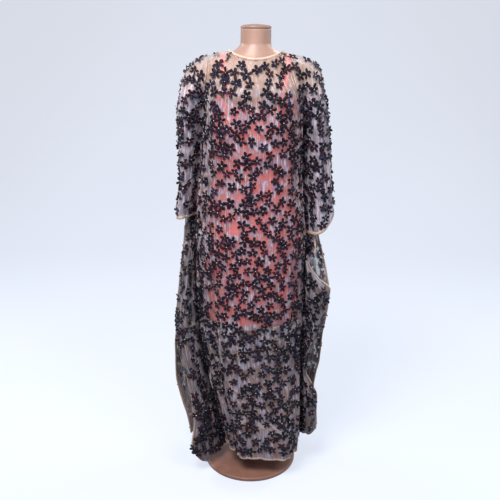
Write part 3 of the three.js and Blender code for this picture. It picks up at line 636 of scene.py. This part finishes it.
def flowers(name, g, n, places, rng, materials, lift=1.0):
    """Five-petal cloth flowers with a bead, bent to the cloth's surface. n: outward unit normals of the grid g."""
    fi, fj = places
    count = len(fi)
    centre = sample(g, fi, fj)
    a = sample(g, fi + 0.5, fj) - sample(g, fi - 0.5, fj)
    b = sample(g, fi, fj + 0.5) - sample(g, fi, fj - 0.5)
    nn = unit(sample(n, fi, fj))
    e1 = unit(a - nn * (a * nn).sum(1, keepdims=True))
    e2 = np.cross(nn, e1)
    m = np.stack([np.stack([(a * e1).sum(1), (b * e1).sum(1)], -1), np.stack([(a * e2).sum(1), (b * e2).sum(1)], -1)], -2)
    inverse = np.linalg.inv(m)

    def place(dx, dy, h):
        """Points at (dx, dy) in the flower's plane, bent to the cloth, at height h. Arrays of (flowers, points)."""
        d = np.einsum("fab,fpb->fpa", inverse, np.stack([dx, dy], -1))
        pi, pj = fi[:, None] + d[..., 0], fj[:, None] + d[..., 1]
        flat = centre[:, None] + e1[:, None] * dx[..., None] + e2[:, None] * dy[..., None]
        on = sample(g, pi, pj)
        off = np.linalg.norm(on - flat, axis=-1, keepdims=True)
        blend = smooth((off - 7) / 6)
        normal = unit(mix(sample(n, pi, pj), nn[:, None], blend))
        return mix(on, flat, blend) + normal * h[..., None]

    turn = rng.random(count) * 2 * math.pi
    size = rng.uniform(0.84, 1.16, count)
    length = 17.0 * size[:, None] * rng.uniform(0.84, 1.10, (count, 5))
    half = 4.85 * size[:, None] * rng.uniform(0.80, 1.16, (count, 5))
    tip = lift * (1.0 + 6.5 * rng.random((count, 5)) ** 1.9)
    lean = rng.uniform(-0.12, 0.12, (count, 5))
    angle = turn[:, None] + np.arange(5) * 2 * math.pi / 5 + lean
    xs, ys, hs, us, vs = [], [], [], [], []
    tone = rng.random(count)[:, None] * 0.7 + rng.random((count, 5)) * 0.3
    roll = rng.uniform(-0.9, 0.9, (count, 5))
    for t, w in zip(PETAL_T, PETAL_W):
        rise = 1.5 + tip * t**1.7
        for across, up in ((-1, 0.75 + 0.5 * t), (0, 0.15), (1, 0.75 + 0.5 * t), (0, -0.75)):
            r = length * t
            o = half * w * across
            xs.append(r * np.cos(angle) - o * np.sin(angle))
            ys.append(r * np.sin(angle) + o * np.cos(angle))
            hs.append(rise + up * size[:, None] + roll * across * w * 1.6)
            us.append(tone)
            vs.append(np.full_like(tone, t))
    xs.append(length * np.cos(angle))
    ys.append(length * np.sin(angle))
    hs.append(1.5 + tip + 0.2)
    us.append(tone)
    vs.append(np.ones_like(tone))
    xs, ys, hs, us, vs = (np.stack(v, -1).reshape(count, -1) for v in (xs, ys, hs, us, vs))
    hs = np.maximum(hs, 0.45)
    points = place(xs, ys, hs).reshape(-1, 3)
    uv = np.stack([us, vs], -1).reshape(-1, 2)
    quads, tris = [], []
    for k in range(3):
        for s in range(4):
            quads.append((4 * k + s, 4 * k + (s + 1) % 4, 4 * (k + 1) + (s + 1) % 4, 4 * (k + 1) + s))
    quads.append((3, 2, 1, 0))
    for s in range(4):
        tris.append((12 + s, 12 + (s + 1) % 4, 16))
    start = (np.arange(count * 5) * 17)[:, None, None]
    quads = (np.array(quads)[None] + start).reshape(-1, 4)
    tris = (np.array(tris)[None] + start).reshape(-1, 3)
    quads, tris = outward_faces(points, [quads, tris])

    bead_points, bead_faces = bead_mesh()
    radius = rng.uniform(1.3, 2.0, count)
    middle = place(rng.uniform(-0.6, 0.6, (count, 1)), rng.uniform(-0.6, 0.6, (count, 1)), np.full((count, 1), 2.6))[:, 0]
    beads = (middle[:, None] + bead_points[None] * radius[:, None, None]).reshape(-1, 3)
    bead_faces = (bead_faces[None] + (np.arange(count) * len(bead_points))[:, None, None] + len(points)).reshape(-1, 3)
    bead_uv = np.stack([np.repeat(rng.random(count), len(bead_points)), np.zeros(count * len(bead_points))], -1)
    both = np.concatenate([points, beads])
    bead_faces = outward_faces(both, [bead_faces])[0]
    return make_mesh(
        name, metres(both), [quads, tris], uv=np.concatenate([uv, bead_uv]), material=materials[0], extra=materials[1], extra_faces=[bead_faces]
    )


# ---------------------------------------------------------------- pressed-in pleats
def scattered_pleats(g, rng, count, rows_long, top=2):
    """Short pleats of uneven length, width and height, running down the cloth."""
    n, m = g.shape[:2]
    lines = []
    for k in range(count):
        start = rng.uniform(top, m - 4 - rows_long[0])
        fj = np.arange(start, min(start + rng.uniform(*rows_long), m - 3), 0.45)
        fi = rng.uniform(4, n - 5) + 0.55 * noise(fj * 0.42, np.full(len(fj), 3.7 * k), 71)
        lines.append((fi, fj, rng.uniform(0.5, 1.15), rng.uniform(0.6, 1.4)))
    return lines


def side_pleats(g, rng, places, top, wobble):
    """The puckered line beside a row of stitches: long pleats end to end with short gaps. places: rows across, as shares of the width."""
    n, m = g.shape[:2]
    lines = []
    for k, place in enumerate(places):
        start = top + rng.uniform(0, 4)
        while start < m - 8:
            fj = np.arange(start, min(start + rng.uniform(7, 20), m - 2.2), 0.35)
            fi = place * (n - 1) + wobble * noise(fj * 0.34, np.full(len(fj), 5.1 * k), 72)
            lines.append((fi, fj, rng.uniform(1.3, 2.2), rng.uniform(1.8, 3.0)))
            start = fj[-1] + rng.uniform(0.6, 3.0)
    return lines


def pleats(name, cloth, n, lines, material):
    """Raised creases on the cloth, each a closed strip with its foot just under the cloth's face."""
    points, quads, tris, uv, start = [], [], [], [], 0
    for k, (fi, fj, half, rise) in enumerate(lines):
        share = np.linspace(0, 1, len(fj))
        swell = np.sqrt(np.sin(math.pi * (0.02 + 0.96 * share))) * (0.82 + 0.3 * noise(fj * 0.8, np.full(len(fj), 1.9 * k), 73))
        p = sample(cloth, fi, fj)
        across = unit(sample(cloth, fi + 0.5, fj) - sample(cloth, fi - 0.5, fj))
        up = unit(sample(n, fi, fj))
        w, h = (half * swell)[:, None], (rise * swell)[:, None]
        section = np.stack([p - across * w - up * 0.4, p + up * h, p + across * w - up * 0.4], 1)
        points.append(section.reshape(-1, 3))
        uv.append(np.stack([np.repeat(fi, 3) * 0.01, np.repeat(fj, 3) * 0.01], -1))
        quads.append(grid_faces(len(fj), 3, start, wrap_j=True))
        last = start + 3 * (len(fj) - 1)
        tris.append(np.array([[start, start + 1, start + 2], [last + 2, last + 1, last]]))
        start += 3 * len(fj)
    points = np.concatenate(points)
    quads, tris = outward_faces(points, [np.concatenate(quads), np.concatenate(tris)])
    return make_mesh(name, metres(points), [quads, tris], uv=np.concatenate(uv), material=material)


# ---------------------------------------------------------------- materials
def new_material(name):
    m = bpy.data.materials.new(name)
    m.use_nodes = True
    nodes, links = m.node_tree.nodes, m.node_tree.links
    nodes.clear()
    out = nodes.new("ShaderNodeOutputMaterial")
    bsdf = nodes.new("ShaderNodeBsdfPrincipled")
    links.new(bsdf.outputs["BSDF"], out.inputs["Surface"])
    return m, nodes, links, bsdf


def coordinates(nodes, links, kind, scale, location=(0, 0, 0)):
    tex = nodes.new("ShaderNodeTexCoord")
    mapping = nodes.new("ShaderNodeMapping")
    mapping.inputs["Scale"].default_value = scale
    mapping.inputs["Location"].default_value = location
    links.new(tex.outputs[kind], mapping.inputs["Vector"])
    return mapping.outputs["Vector"]


def noise_node(nodes, links, vector, scale=1.0, detail=2.0, rough=0.5, distortion=0.0):
    n = nodes.new("ShaderNodeTexNoise")
    n.inputs["Scale"].default_value = scale
    n.inputs["Detail"].default_value = detail
    n.inputs["Roughness"].default_value = rough
    n.inputs["Distortion"].default_value = distortion
    links.new(vector, n.inputs["Vector"])
    return n.outputs["Fac"]


def ramp(nodes, links, fac, stops, interpolation="LINEAR"):
    r = nodes.new("ShaderNodeValToRGB")
    r.color_ramp.interpolation = interpolation
    while len(r.color_ramp.elements) < len(stops):
        r.color_ramp.elements.new(0.5)
    for e, (place, colour) in zip(r.color_ramp.elements, stops):
        e.position = place
        e.color = (*colour, 1) if len(colour) == 3 else colour
    links.new(fac, r.inputs["Fac"])
    return r.outputs["Color"]


def mix_colour(nodes, links, fac, a, b, blend="MIX"):
    n = nodes.new("ShaderNodeMix")
    n.data_type = "RGBA"
    n.blend_type = blend
    for socket, value in ((n.inputs["Factor"], fac), (n.inputs["A"], a), (n.inputs["B"], b)):
        if hasattr(value, "is_linked"):
            links.new(value, socket)
        else:
            socket.default_value = value
    return n.outputs["Result"]


def map_range(nodes, links, value, a, b, c, d):
    n = nodes.new("ShaderNodeMapRange")
    n.interpolation_type = "SMOOTHSTEP"
    for key, v in (("From Min", a), ("From Max", b), ("To Min", c), ("To Max", d)):
        n.inputs[key].default_value = v
    links.new(value, n.inputs["Value"])
    return n.outputs["Result"]


def bump(nodes, links, height, bsdf, strength, distance):
    n = nodes.new("ShaderNodeBump")
    n.inputs["Strength"].default_value = strength
    n.inputs["Distance"].default_value = distance
    links.new(height, n.inputs["Height"])
    links.new(n.outputs["Normal"], bsdf.inputs["Normal"])
    return n


def srgb(r, g, b):
    def one(c):
        c /= 255
        return c / 12.92 if c <= 0.04045 else ((c + 0.055) / 1.055) ** 2.4
    return (one(r), one(g), one(b))


def robe_material(name, low, high, tone=1.0, warm=(172, 148, 150)):
    m, nodes, links, bsdf = new_material(name)
    grain = coordinates(nodes, links, "UV", (170, 17, 1))
    fine = coordinates(nodes, links, "UV", (380, 50, 1))
    patch = coordinates(nodes, links, "UV", (34, 30, 1))
    streak = noise_node(nodes, links, grain, 1.0, 2.0, 0.55, 0.35)
    thread = noise_node(nodes, links, fine, 1.0, 1.0, 0.5, 0.2)
    cloud = noise_node(nodes, links, patch, 1.0, 1.5, 0.5, 0.6)
    colour = ramp(nodes, links, streak, [
        (0.30, srgb(106 * tone, 94 * tone, 110 * tone)), (0.46, srgb(154 * tone, 142 * tone, 160 * tone)),
        (0.60, srgb(196 * tone, 187 * tone, 206 * tone)), (0.74, srgb(240 * tone, 233 * tone, 246 * tone))])
    warm = mix_colour(nodes, links, map_range(nodes, links, cloud, 0.44, 0.58, 1.0, 0.0), colour, (*srgb(*warm), 1))
    place = nodes.new("ShaderNodeTexCoord")
    parts = nodes.new("ShaderNodeSeparateXYZ")
    links.new(place.outputs["Object"], parts.inputs["Vector"])
    worn = map_range(nodes, links, parts.outputs["Z"], 1.27, 1.36, 0.0, 0.68)
    links.new(mix_colour(nodes, links, worn, warm, (*srgb(214, 186, 168), 1)), bsdf.inputs["Base Color"])
    alpha_patch = map_range(nodes, links, cloud, 0.41, 0.59, low, high)
    alpha_streak = map_range(nodes, links, streak, 0.46, 0.72, 0.0, 0.16)
    # over the shoulders the crinkle is pulled open, and more shows through it; towards the hem it closes up
    closed = map_range(nodes, links, parts.outputs["Z"], 0.30, 0.48, 0.34, 0.0)
    both = nodes.new("ShaderNodeMath")
    both.operation = "ADD"
    links.new(alpha_streak, both.inputs[0])
    links.new(closed, both.inputs[1])
    add = nodes.new("ShaderNodeMath")
    add.operation = "ADD"
    add.use_clamp = True
    links.new(alpha_patch, add.inputs[0])
    links.new(both.outputs[0], add.inputs[1])
    opened = map_range(nodes, links, parts.outputs["Z"], 1.31, 1.375, 1.0, 0.62)
    thin = nodes.new("ShaderNodeMath")
    thin.operation = "MULTIPLY"
    links.new(add.outputs[0], thin.inputs[0])
    links.new(opened, thin.inputs[1])
    links.new(thin.outputs[0], bsdf.inputs["Alpha"])
    bsdf.inputs["Roughness"].default_value = 0.72
    bsdf.inputs["Sheen Weight"].default_value = 0.25
    bsdf.inputs["Sheen Roughness"].default_value = 0.5
    height = nodes.new("ShaderNodeMath")
    height.operation = "MULTIPLY_ADD"
    links.new(thread, height.inputs[0])
    height.inputs[1].default_value = 0.35
    links.new(streak, height.inputs[2])
    bump(nodes, links, height.outputs[0], bsdf, 0.75, 0.004)
    return m


def cloth_material(name, dark, mid, light, roughness, kind="UV", scale=(160, 24, 1), strength=0.4, distance=0.0015, sheen=0.0, coat=0.0):
    m, nodes, links, bsdf = new_material(name)
    vector = coordinates(nodes, links, kind, scale)
    n = noise_node(nodes, links, vector, 1.0, 2.5, 0.55, 0.3)
    links.new(ramp(nodes, links, n, [(0.28, dark), (0.5, mid), (0.72, light)]), bsdf.inputs["Base Color"])
    bsdf.inputs["Roughness"].default_value = roughness
    bsdf.inputs["Sheen Weight"].default_value = sheen
    bsdf.inputs["Coat Weight"].default_value = coat
    bump(nodes, links, n, bsdf, strength, distance)
    return m


def petal_material():
    m, nodes, links, bsdf = new_material("petal_satin")
    tex = nodes.new("ShaderNodeTexCoord")
    split = nodes.new("ShaderNodeSeparateXYZ")
    links.new(tex.outputs["UV"], split.inputs["Vector"])
    tone = ramp(nodes, links, split.outputs["X"], [
        (0.0, srgb(8, 6, 14)), (0.3, srgb(14, 13, 28)), (0.52, srgb(24, 26, 50)), (0.66, srgb(56, 18, 26)), (0.78, srgb(20, 17, 34)), (1.0, srgb(48, 56, 92))])
    along = map_range(nodes, links, split.outputs["Y"], 0.0, 0.6, 0.75, 0.0)
    inner = mix_colour(nodes, links, along, tone, (*srgb(40, 20, 30), 1))
    links.new(inner, bsdf.inputs["Base Color"])
    n = noise_node(nodes, links, coordinates(nodes, links, "Object", (500, 500, 500)), 1.0, 2.0, 0.5)
    rough = map_range(nodes, links, n, 0.3, 0.7, 0.42, 0.62)
    links.new(rough, bsdf.inputs["Roughness"])
    bump(nodes, links, n, bsdf, 0.25, 0.0006)
    bsdf.inputs["Specular IOR Level"].default_value = 0.24
    bsdf.inputs["Sheen Weight"].default_value = 0.03
    bsdf.inputs["Sheen Roughness"].default_value = 0.4
    bsdf.inputs["Sheen Tint"].default_value = (0.55, 0.68, 1.0, 1)
    return m


def bead_material():
    m, nodes, links, bsdf = new_material("bead")
    tex = nodes.new("ShaderNodeTexCoord")
    split = nodes.new("ShaderNodeSeparateXYZ")
    links.new(tex.outputs["UV"], split.inputs["Vector"])
    tone = ramp(nodes, links, split.outputs["X"], [
        (0.0, srgb(214, 208, 220)), (0.32, srgb(150, 142, 158)), (0.5, srgb(150, 62, 56)), (0.68, srgb(176, 128, 96)), (0.84, srgb(206, 196, 190))], "CONSTANT")
    links.new(tone, bsdf.inputs["Base Color"])
    bsdf.inputs["Roughness"].default_value = 0.22
    bsdf.inputs["Coat Weight"].default_value = 0.3
    return m


def solid_material(name, dark, light, roughness, scale, strength, distance, coat=0.0):
    m, nodes, links, bsdf = new_material(name)
    n = noise_node(nodes, links, coordinates(nodes, links, "Object", (scale, scale, scale)), 1.0, 3.0, 0.55)
    links.new(ramp(nodes, links, n, [(0.3, dark), (0.7, light)]), bsdf.inputs["Base Color"])
    bsdf.inputs["Roughness"].default_value = roughness
    bsdf.inputs["Coat Weight"].default_value = coat
    bump(nodes, links, n, bsdf, strength, distance)
    return m


ROBE = robe_material("sheer_crinkle", 0.45, 0.82, 0.95, (166, 136, 134))
ROBE_FREE = robe_material("sheer_crinkle_hanging_free", 0.70, 0.95, 1.0, (160, 146, 162))
# The back flaps take a darker copy of the same cloth: its lower tone (0.74) and dark patch colour (112, 94, 94) are
# painted shade.
ROBE_FLAP_PAINTED_SHADE = robe_material("sheer_crinkle_flap_painted_shade", 0.74, 0.95, 0.74, (112, 94, 94))
ROBE_FLAP_FRONT = robe_material("sheer_crinkle_front_flap", 0.50, 0.86, 0.95, (150, 130, 132))
PETAL, BEADS = petal_material(), bead_material()
PLEAT = cloth_material("raised_crease", srgb(196, 172, 174), srgb(222, 200, 202), srgb(246, 228, 228), 0.78, scale=(40, 30, 1), strength=0.1, distance=0.001, sheen=0.2)
SATIN = cloth_material("coral_satin", srgb(224, 82, 94), srgb(240, 100, 110), srgb(250, 126, 132), 0.46, scale=(38, 8, 1), strength=0.3, distance=0.002, sheen=0.1)
BEIGE = cloth_material("beige_binding", srgb(184, 152, 134), srgb(212, 182, 162), srgb(230, 206, 188), 0.8, scale=(220, 220, 1), strength=0.4, distance=0.0012, sheen=0.2)
SKIN = solid_material("form_skin", srgb(136, 106, 94), srgb(146, 115, 102), 0.46, 14, 0.05, 0.001, 0.05)
PAINT = solid_material("stand_paint", srgb(138, 98, 84), srgb(156, 112, 96), 0.42, 30, 0.06, 0.0006, 0.05)


# ---------------------------------------------------------------- pieces
made, grids = {}, {}


def finish_piece(ob, node):
    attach(ob, "root")
    if node:
        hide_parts(*([node] if isinstance(node, str) else node))
    made[ob.name] = ob
    return ob


def dense(count):
    """Places down a column, close together at the top."""
    return 1 - np.cos(np.linspace(0, 1, count) * math.pi / 2)


def facing(grid, away):
    """+1 if the grid's normals point the way of away, a vector for each point."""
    return 1.0 if (normals_of(grid) * away).sum() > 0 else -1.0


rng = np.random.default_rng(20418)
# robe body
for side, face in ((-1, "back"), (1, "front")):
    u = np.linspace(-1, 1, 205)[:, None]
    g = even_columns(body_point(side, u, dense(420)[None]), 120)
    out = facing(g, np.stack([g[..., 0] * 0.6, g[..., 1], g[..., 2] * 0], -1))
    ob, n = sheer("robe_body_" + face, g, out, ROBE, 3 if side < 0 else 4)
    finish_piece(ob, "body_" + face)
    grids["body_" + face] = (g, n)
    places = flower_places(g, rng, 890, 23.2, (8, 8, 16, 15), 40 + side)
    finish_piece(flowers("flowers_body_" + face, g, n, places, rng, (PETAL, BEADS)), None)
    lines = scattered_pleats(g, rng, 230, (4, 15)) + side_pleats(g, rng, (0.045, 0.075, 0.925, 0.955), 16, 1.5)
    finish_piece(pleats("pleats_body_" + face, crinkled["robe_body_" + face], n, lines, PLEAT), None)

# sleeves
for hand, name in ((-1, "left"), (1, "right")):
    u = np.linspace(0, 2, 121)[:, None]
    g = even_columns(sleeve_point(hand, u, dense(300)[None]), 52)
    middle = (at(BODY, name, g[..., 2]) + at(SLEEVE, name, g[..., 2])) / 2
    out = facing(g, np.stack([g[..., 0] - middle, g[..., 1], g[..., 2] * 0], -1))
    ob, n = sheer("robe_sleeve_" + name, g, out, ROBE_FREE, 5 if hand < 0 else 6)
    finish_piece(ob, "sleeve_" + name)
    grids["sleeve_" + name] = (g, n)
    places = flower_places(g, rng, 900, 23.2, (9, 9, 15, 15), 50 + hand)
    finish_piece(flowers("flowers_sleeve_" + name, g, n, places, rng, (PETAL, BEADS), 1.25), None)
    finish_piece(pleats("pleats_sleeve_" + name, crinkled["robe_sleeve_" + name], n, scattered_pleats(g, rng, 90, (4, 14)), PLEAT), None)
    edge, inner = g[:, -1], g[:, -2]
    finish_piece(binding("binding_cuff_" + name, edge, unit(edge - inner), n[:, -1], BEIGE, seed=11 + hand), "cuff_" + name)

# flaps below the sleeves
for hand, name in ((-1, "left"), (1, "right")):
    for side, face in ((-1, "back"), (1, "front")):
        q = np.linspace(0, 1, 49)[:, None]
        g = even_columns(wing_point(hand, side, q, np.linspace(0, 1, 400)[None]), 96)
        out = facing(g, np.stack([g[..., 0] * 0, g[..., 1] * 0 + side, g[..., 2] * 0], -1))
        label = name + "_" + face
        # the back flaps get the copy of the cloth with painted shade
        ob, n = sheer("robe_flap_" + label, g, out, ROBE_FLAP_PAINTED_SHADE if side < 0 else ROBE_FLAP_FRONT, 7 + (hand > 0) * 2 + (side > 0))
        finish_piece(ob, "wing_" + label)
        grids["wing_" + label] = (g, n)
        places = flower_places(g, rng, 960, 22.4, (9, 14, 14, 19), 60 + 3 * hand + side)
        finish_piece(flowers("flowers_flap_" + label, g, n, places, rng, (PETAL, BEADS)), None)
        finish_piece(pleats("pleats_flap_" + label, crinkled["robe_flap_" + label], n, scattered_pleats(g, rng, 40, (4, 15), 6), PLEAT), None)
        edge, inner = g[-1, 8:], g[-2, 8:]
        finish_piece(binding("binding_edge_" + label, edge, unit(edge - inner), n[-1, 8:], BEIGE, seed=21 + hand + side * 3), "edge_" + label)


# neckline and hem bindings run all round
def ring(points_of, u_back, u_front, rise):
    edge, inner, across = [], [], []
    for side, us in ((-1, u_back), (1, u_front)):
        e, i = points_of(side, us)
        edge.append(e)
        inner.append(i)
    edge, inner = np.concatenate(edge), np.concatenate(inner)
    out = unit(edge - inner)
    out[:, 2] += rise
    out = unit(out)
    along = unit(np.roll(edge, -1, 0) - np.roll(edge, 1, 0))
    normal = unit(np.cross(along, out))
    return edge, unit(np.cross(normal, along)), normal


def neck_points(side, us):
    return body_point(side, us, 0.0), body_point(side, us, 0.012)


def hem_points(side, us):
    return body_point(side, us, 1.0), body_point(side, us, 0.985)


t = np.linspace(-1, 1, 61)[:-1]
edge, out, normal = ring(neck_points, NECK_U * np.sin(t * math.pi / 2), NECK_U * np.sin(-t * math.pi / 2), 1.2)
finish_piece(binding("binding_neck", edge, out, normal, BEIGE, loop=True, scale=0.8, width=0.6, seed=31), "neck_binding")
t = np.linspace(-1, 1, 121)[:-1]
edge, out, normal = ring(hem_points, t, -t, 0)
finish_piece(binding("binding_hem", edge, out, normal, BEIGE, loop=True, scale=0.8, width=0.75, seed=32), "hem_binding")

# slip and straps
for side, face in ((-1, "back"), (1, "front")):
    u, v = np.linspace(-1, 1, 97)[:, None], np.linspace(0, 1, 61)[None]
    g = slip_point(side, u, v)
    finish_piece(thick_sheet("slip_panel_" + face, g, 0.9, SATIN, 0.5 * side), "slip_" + face)
strap_path = []
for k in range(len(STRAP) - 1):
    for s in np.linspace(0, 1, 5)[:-1] if k < len(STRAP) - 2 else np.linspace(0, 1, 5):
        strap_path.append((k, s))
for hand, name in ((-1, "left"), (1, "right")):
    ends = np.array([
        [(lambda x: (hand * x, p[0] * (torso_depth(p[0], x, p[2]) + 3.1) if p[0] else p[3], p[2] if p[0] else torso_top(x, p[3]) + 3.1))(p[1] + w) for p in STRAP]
        for w in (-8.5, -5.7, -2.8, 0.0, 2.8, 5.7, 8.5)
    ])
    g = np.array([[mix(col[k], col[k + 1], s) for k, s in strap_path] for col in ends])
    finish_piece(thick_sheet("slip_strap_" + name, g, 1.0, SATIN, 0.2 * hand), "strap_" + name)


# dress form and stand
def loft(name, table, zs, count, material):
    a = np.linspace(0, 2 * math.pi, count, endpoint=False)[:, None]
    g = oval_point(table, a, zs[None])
    points = np.concatenate([g.reshape(-1, 3), [[0, 0, zs[0]], [0, 0, zs[-1]]]])
    m = len(zs)
    i = np.arange(count)
    caps = np.concatenate([
        np.stack([i * m, ((i + 1) % count) * m, np.full(count, count * m)], -1)[:, ::-1],
        np.stack([i * m + m - 1, ((i + 1) % count) * m + m - 1, np.full(count, count * m + 1)], -1),
    ])
    return make_mesh(name, metres(points), outward_faces(points, [grid_faces(count, m, wrap_i=True), caps]), material=material)


def turned(name, profile, count, material):
    profile = np.array(profile, float)
    a = np.linspace(0, 2 * math.pi, count, endpoint=False)[:, None]
    r, z = profile[1:-1, 0][None], profile[1:-1, 1][None]
    g = np.stack(np.broadcast_arrays(r * np.cos(a), r * np.sin(a), z + 0 * a), -1)
    m = g.shape[1]
    points = np.concatenate([g.reshape(-1, 3), [[0, 0, profile[0, 1]], [0, 0, profile[-1, 1]]]])
    i = np.arange(count)
    caps = np.concatenate([
        np.stack([i * m, ((i + 1) % count) * m, np.full(count, count * m)], -1)[:, ::-1],
        np.stack([i * m + m - 1, ((i + 1) % count) * m + m - 1, np.full(count, count * m + 1)], -1),
    ])
    return make_mesh(name, metres(points), outward_faces(points, [grid_faces(count, m, wrap_i=True), caps]), material=material)


zs = np.unique(np.concatenate([np.linspace(1486, 1320, 84), np.linspace(1320, 722, 70)]))[::-1]
finish_piece(loft("form_body", TORSO, zs, 128, SKIN), "form_torso")
finish_piece(turned("form_neck_cap", [
    (0, 1486.4), (44.6, 1486.4), (45.6, 1486.7), (46.2, 1487.6), (46.2, 1491.6), (45.7, 1493.4), (44, 1495), (38, 1496.6), (30, 1497.8), (16, 1499.3), (5, 1499.9), (0, 1500)], 96, SKIN), "neck_cap")
finish_piece(turned("stand_pole", [
    (0, 12.4), (25.4, 12.4), (26, 13), (26, 25), (25, 27), (22, 29), (18, 32), (16, 35.5), (16, 200), (16, 400), (16, 721.2), (15.6, 721.6), (0, 721.6)], 64, PAINT), "pole")
finish_piece(turned("stand_base", [
    (0, 0), (159.3, 0), (160.4, 0.5), (161, 1.6), (161, 8), (160.4, 9.8), (158.8, 11.4), (156.6, 12), (150, 12), (90, 12), (30, 12), (0, 12)], 128, PAINT), "base_plate")


for name in ("left", "right"):
    for face in ("back", "front"):
        label = name + "_" + face


# ---------------------------------------------------------------- floor, backdrop, lights and camera
def backdrop():
    """A floor that sweeps up behind."""
    profile = [(-6.0, 0.0), (2.2, 0.0)]
    profile += [(2.2 + 1.6 * math.sin(a), 1.6 - 1.6 * math.cos(a)) for a in np.linspace(0, math.pi / 2, 24)[1:]]
    profile += [(3.8, 6.0)]
    xs = np.linspace(-7, 7, 3)
    points = np.array([[(x, y, z - 0.0008) for y, z in profile] for x in xs]).reshape(-1, 3)
    f = grid_faces(3, len(profile))
    m, nodes, links, bsdf = new_material("pale_stage")
    n = noise_node(nodes, links, coordinates(nodes, links, "Object", (0.7, 0.7, 0.7)), 1.0, 1.0, 0.5)
    links.new(ramp(nodes, links, n, [(0.3, srgb(150, 155, 165)), (0.7, srgb(158, 162, 171))]), bsdf.inputs["Base Color"])
    bsdf.inputs["Roughness"].default_value = 0.7
    bsdf.inputs["Emission Color"].default_value = (0.83, 0.87, 0.96, 1)
    bsdf.inputs["Emission Strength"].default_value = 0.66
    ob = make_mesh("stage_floor", points, [f], material=m)
    ob.visible_diffuse = False
    return ob


backdrop()


def area_light(name, place, target, size, energy, colour):
    data = bpy.data.lights.new(name, "AREA")
    data.shape = "RECTANGLE"
    data.size, data.size_y = size
    data.energy = energy
    data.color = colour
    ob = bpy.data.objects.new(name, data)
    ob.location = place
    ob.rotation_mode = "QUATERNION"
    ob.rotation_quaternion = (Vector(target) - Vector(place)).to_track_quat("-Z", "Y")
    bpy.context.scene.collection.objects.link(ob)
    return ob


area_light("key", (-0.65, -1.3, 2.75), (0, 0, 1.38), (1.0, 1.0), 66, (1.0, 0.97, 0.95))
area_light("fill", (1.5, -1.8, 2.6), (0, 0, 1.35), (1.4, 1.4), 30, (0.93, 0.96, 1.0))
area_light("rim_left", (-2.2, 1.2, 2.4), (0, 0, 1.3), (1.2, 1.4), 34, (0.9, 0.95, 1.0))
area_light("rim_right", (2.3, 1.1, 2.4), (0, 0, 1.3), (1.2, 1.4), 34, (0.9, 0.95, 1.0))

# Sheer cloth lets far more light on to what lies against it than flat see-through faces do, so two lights reach only
# the slip and the form, and nothing but those shades them.
under = bpy.data.collections.new("under_the_cloth")
for piece in ("slip_panel_back", "slip_panel_front", "slip_strap_left", "slip_strap_right", "form_body"):
    under.objects.link(made[piece])
for name, place, energy in (("through_back", (-0.3, -1.8, 2.5), 31), ("through_front", (0.4, 1.8, 2.5), 32)):
    through = area_light(name, place, (0, 0, 1.1), (1.4, 1.4), energy, (1.0, 0.96, 0.95))
    through.light_linking.receiver_collection = under
    through.light_linking.blocker_collection = under

world = bpy.data.worlds.new("pale_world")
bpy.context.scene.world = world
world.use_nodes = True
background = world.node_tree.nodes["Background"]
sky = world.node_tree.nodes.new("ShaderNodeTexCoord")
height = world.node_tree.nodes.new("ShaderNodeSeparateXYZ")
world.node_tree.links.new(sky.outputs["Generated"], height.inputs["Vector"])
rise = map_range(world.node_tree.nodes, world.node_tree.links, height.outputs["Z"], -0.35, 0.35, 0.0, 1.0)
world.node_tree.links.new(
    ramp(world.node_tree.nodes, world.node_tree.links, rise, [(0.0, (0.16, 0.16, 0.18)), (1.0, (0.84, 0.89, 1.0))]), background.inputs["Color"])
background.inputs["Strength"].default_value = 0.25

camera_data = bpy.data.cameras.new("camera")
camera_data.sensor_fit = "HORIZONTAL"
camera_data.sensor_width = 36
camera_data.lens = 49.82
camera_data.shift_x = -0.0058
camera_data.dof.use_dof = False
camera_data.clip_start, camera_data.clip_end = 0.05, 50
camera = bpy.data.objects.new("camera", camera_data)
camera.matrix_world = (
    Matrix.Translation((0, -2.18, 1.50)) @ Matrix.Rotation(math.radians(90 - 18.1), 4, "X") @ Matrix.Rotation(math.radians(0.81), 4, "Z")
)
bpy.context.scene.collection.objects.link(camera)
bpy.context.scene.camera = camera
bpy.context.scene.view_settings.view_transform = "Standard"
bpy.context.scene.view_settings.look = "None"

bpy.context.view_layer.update()
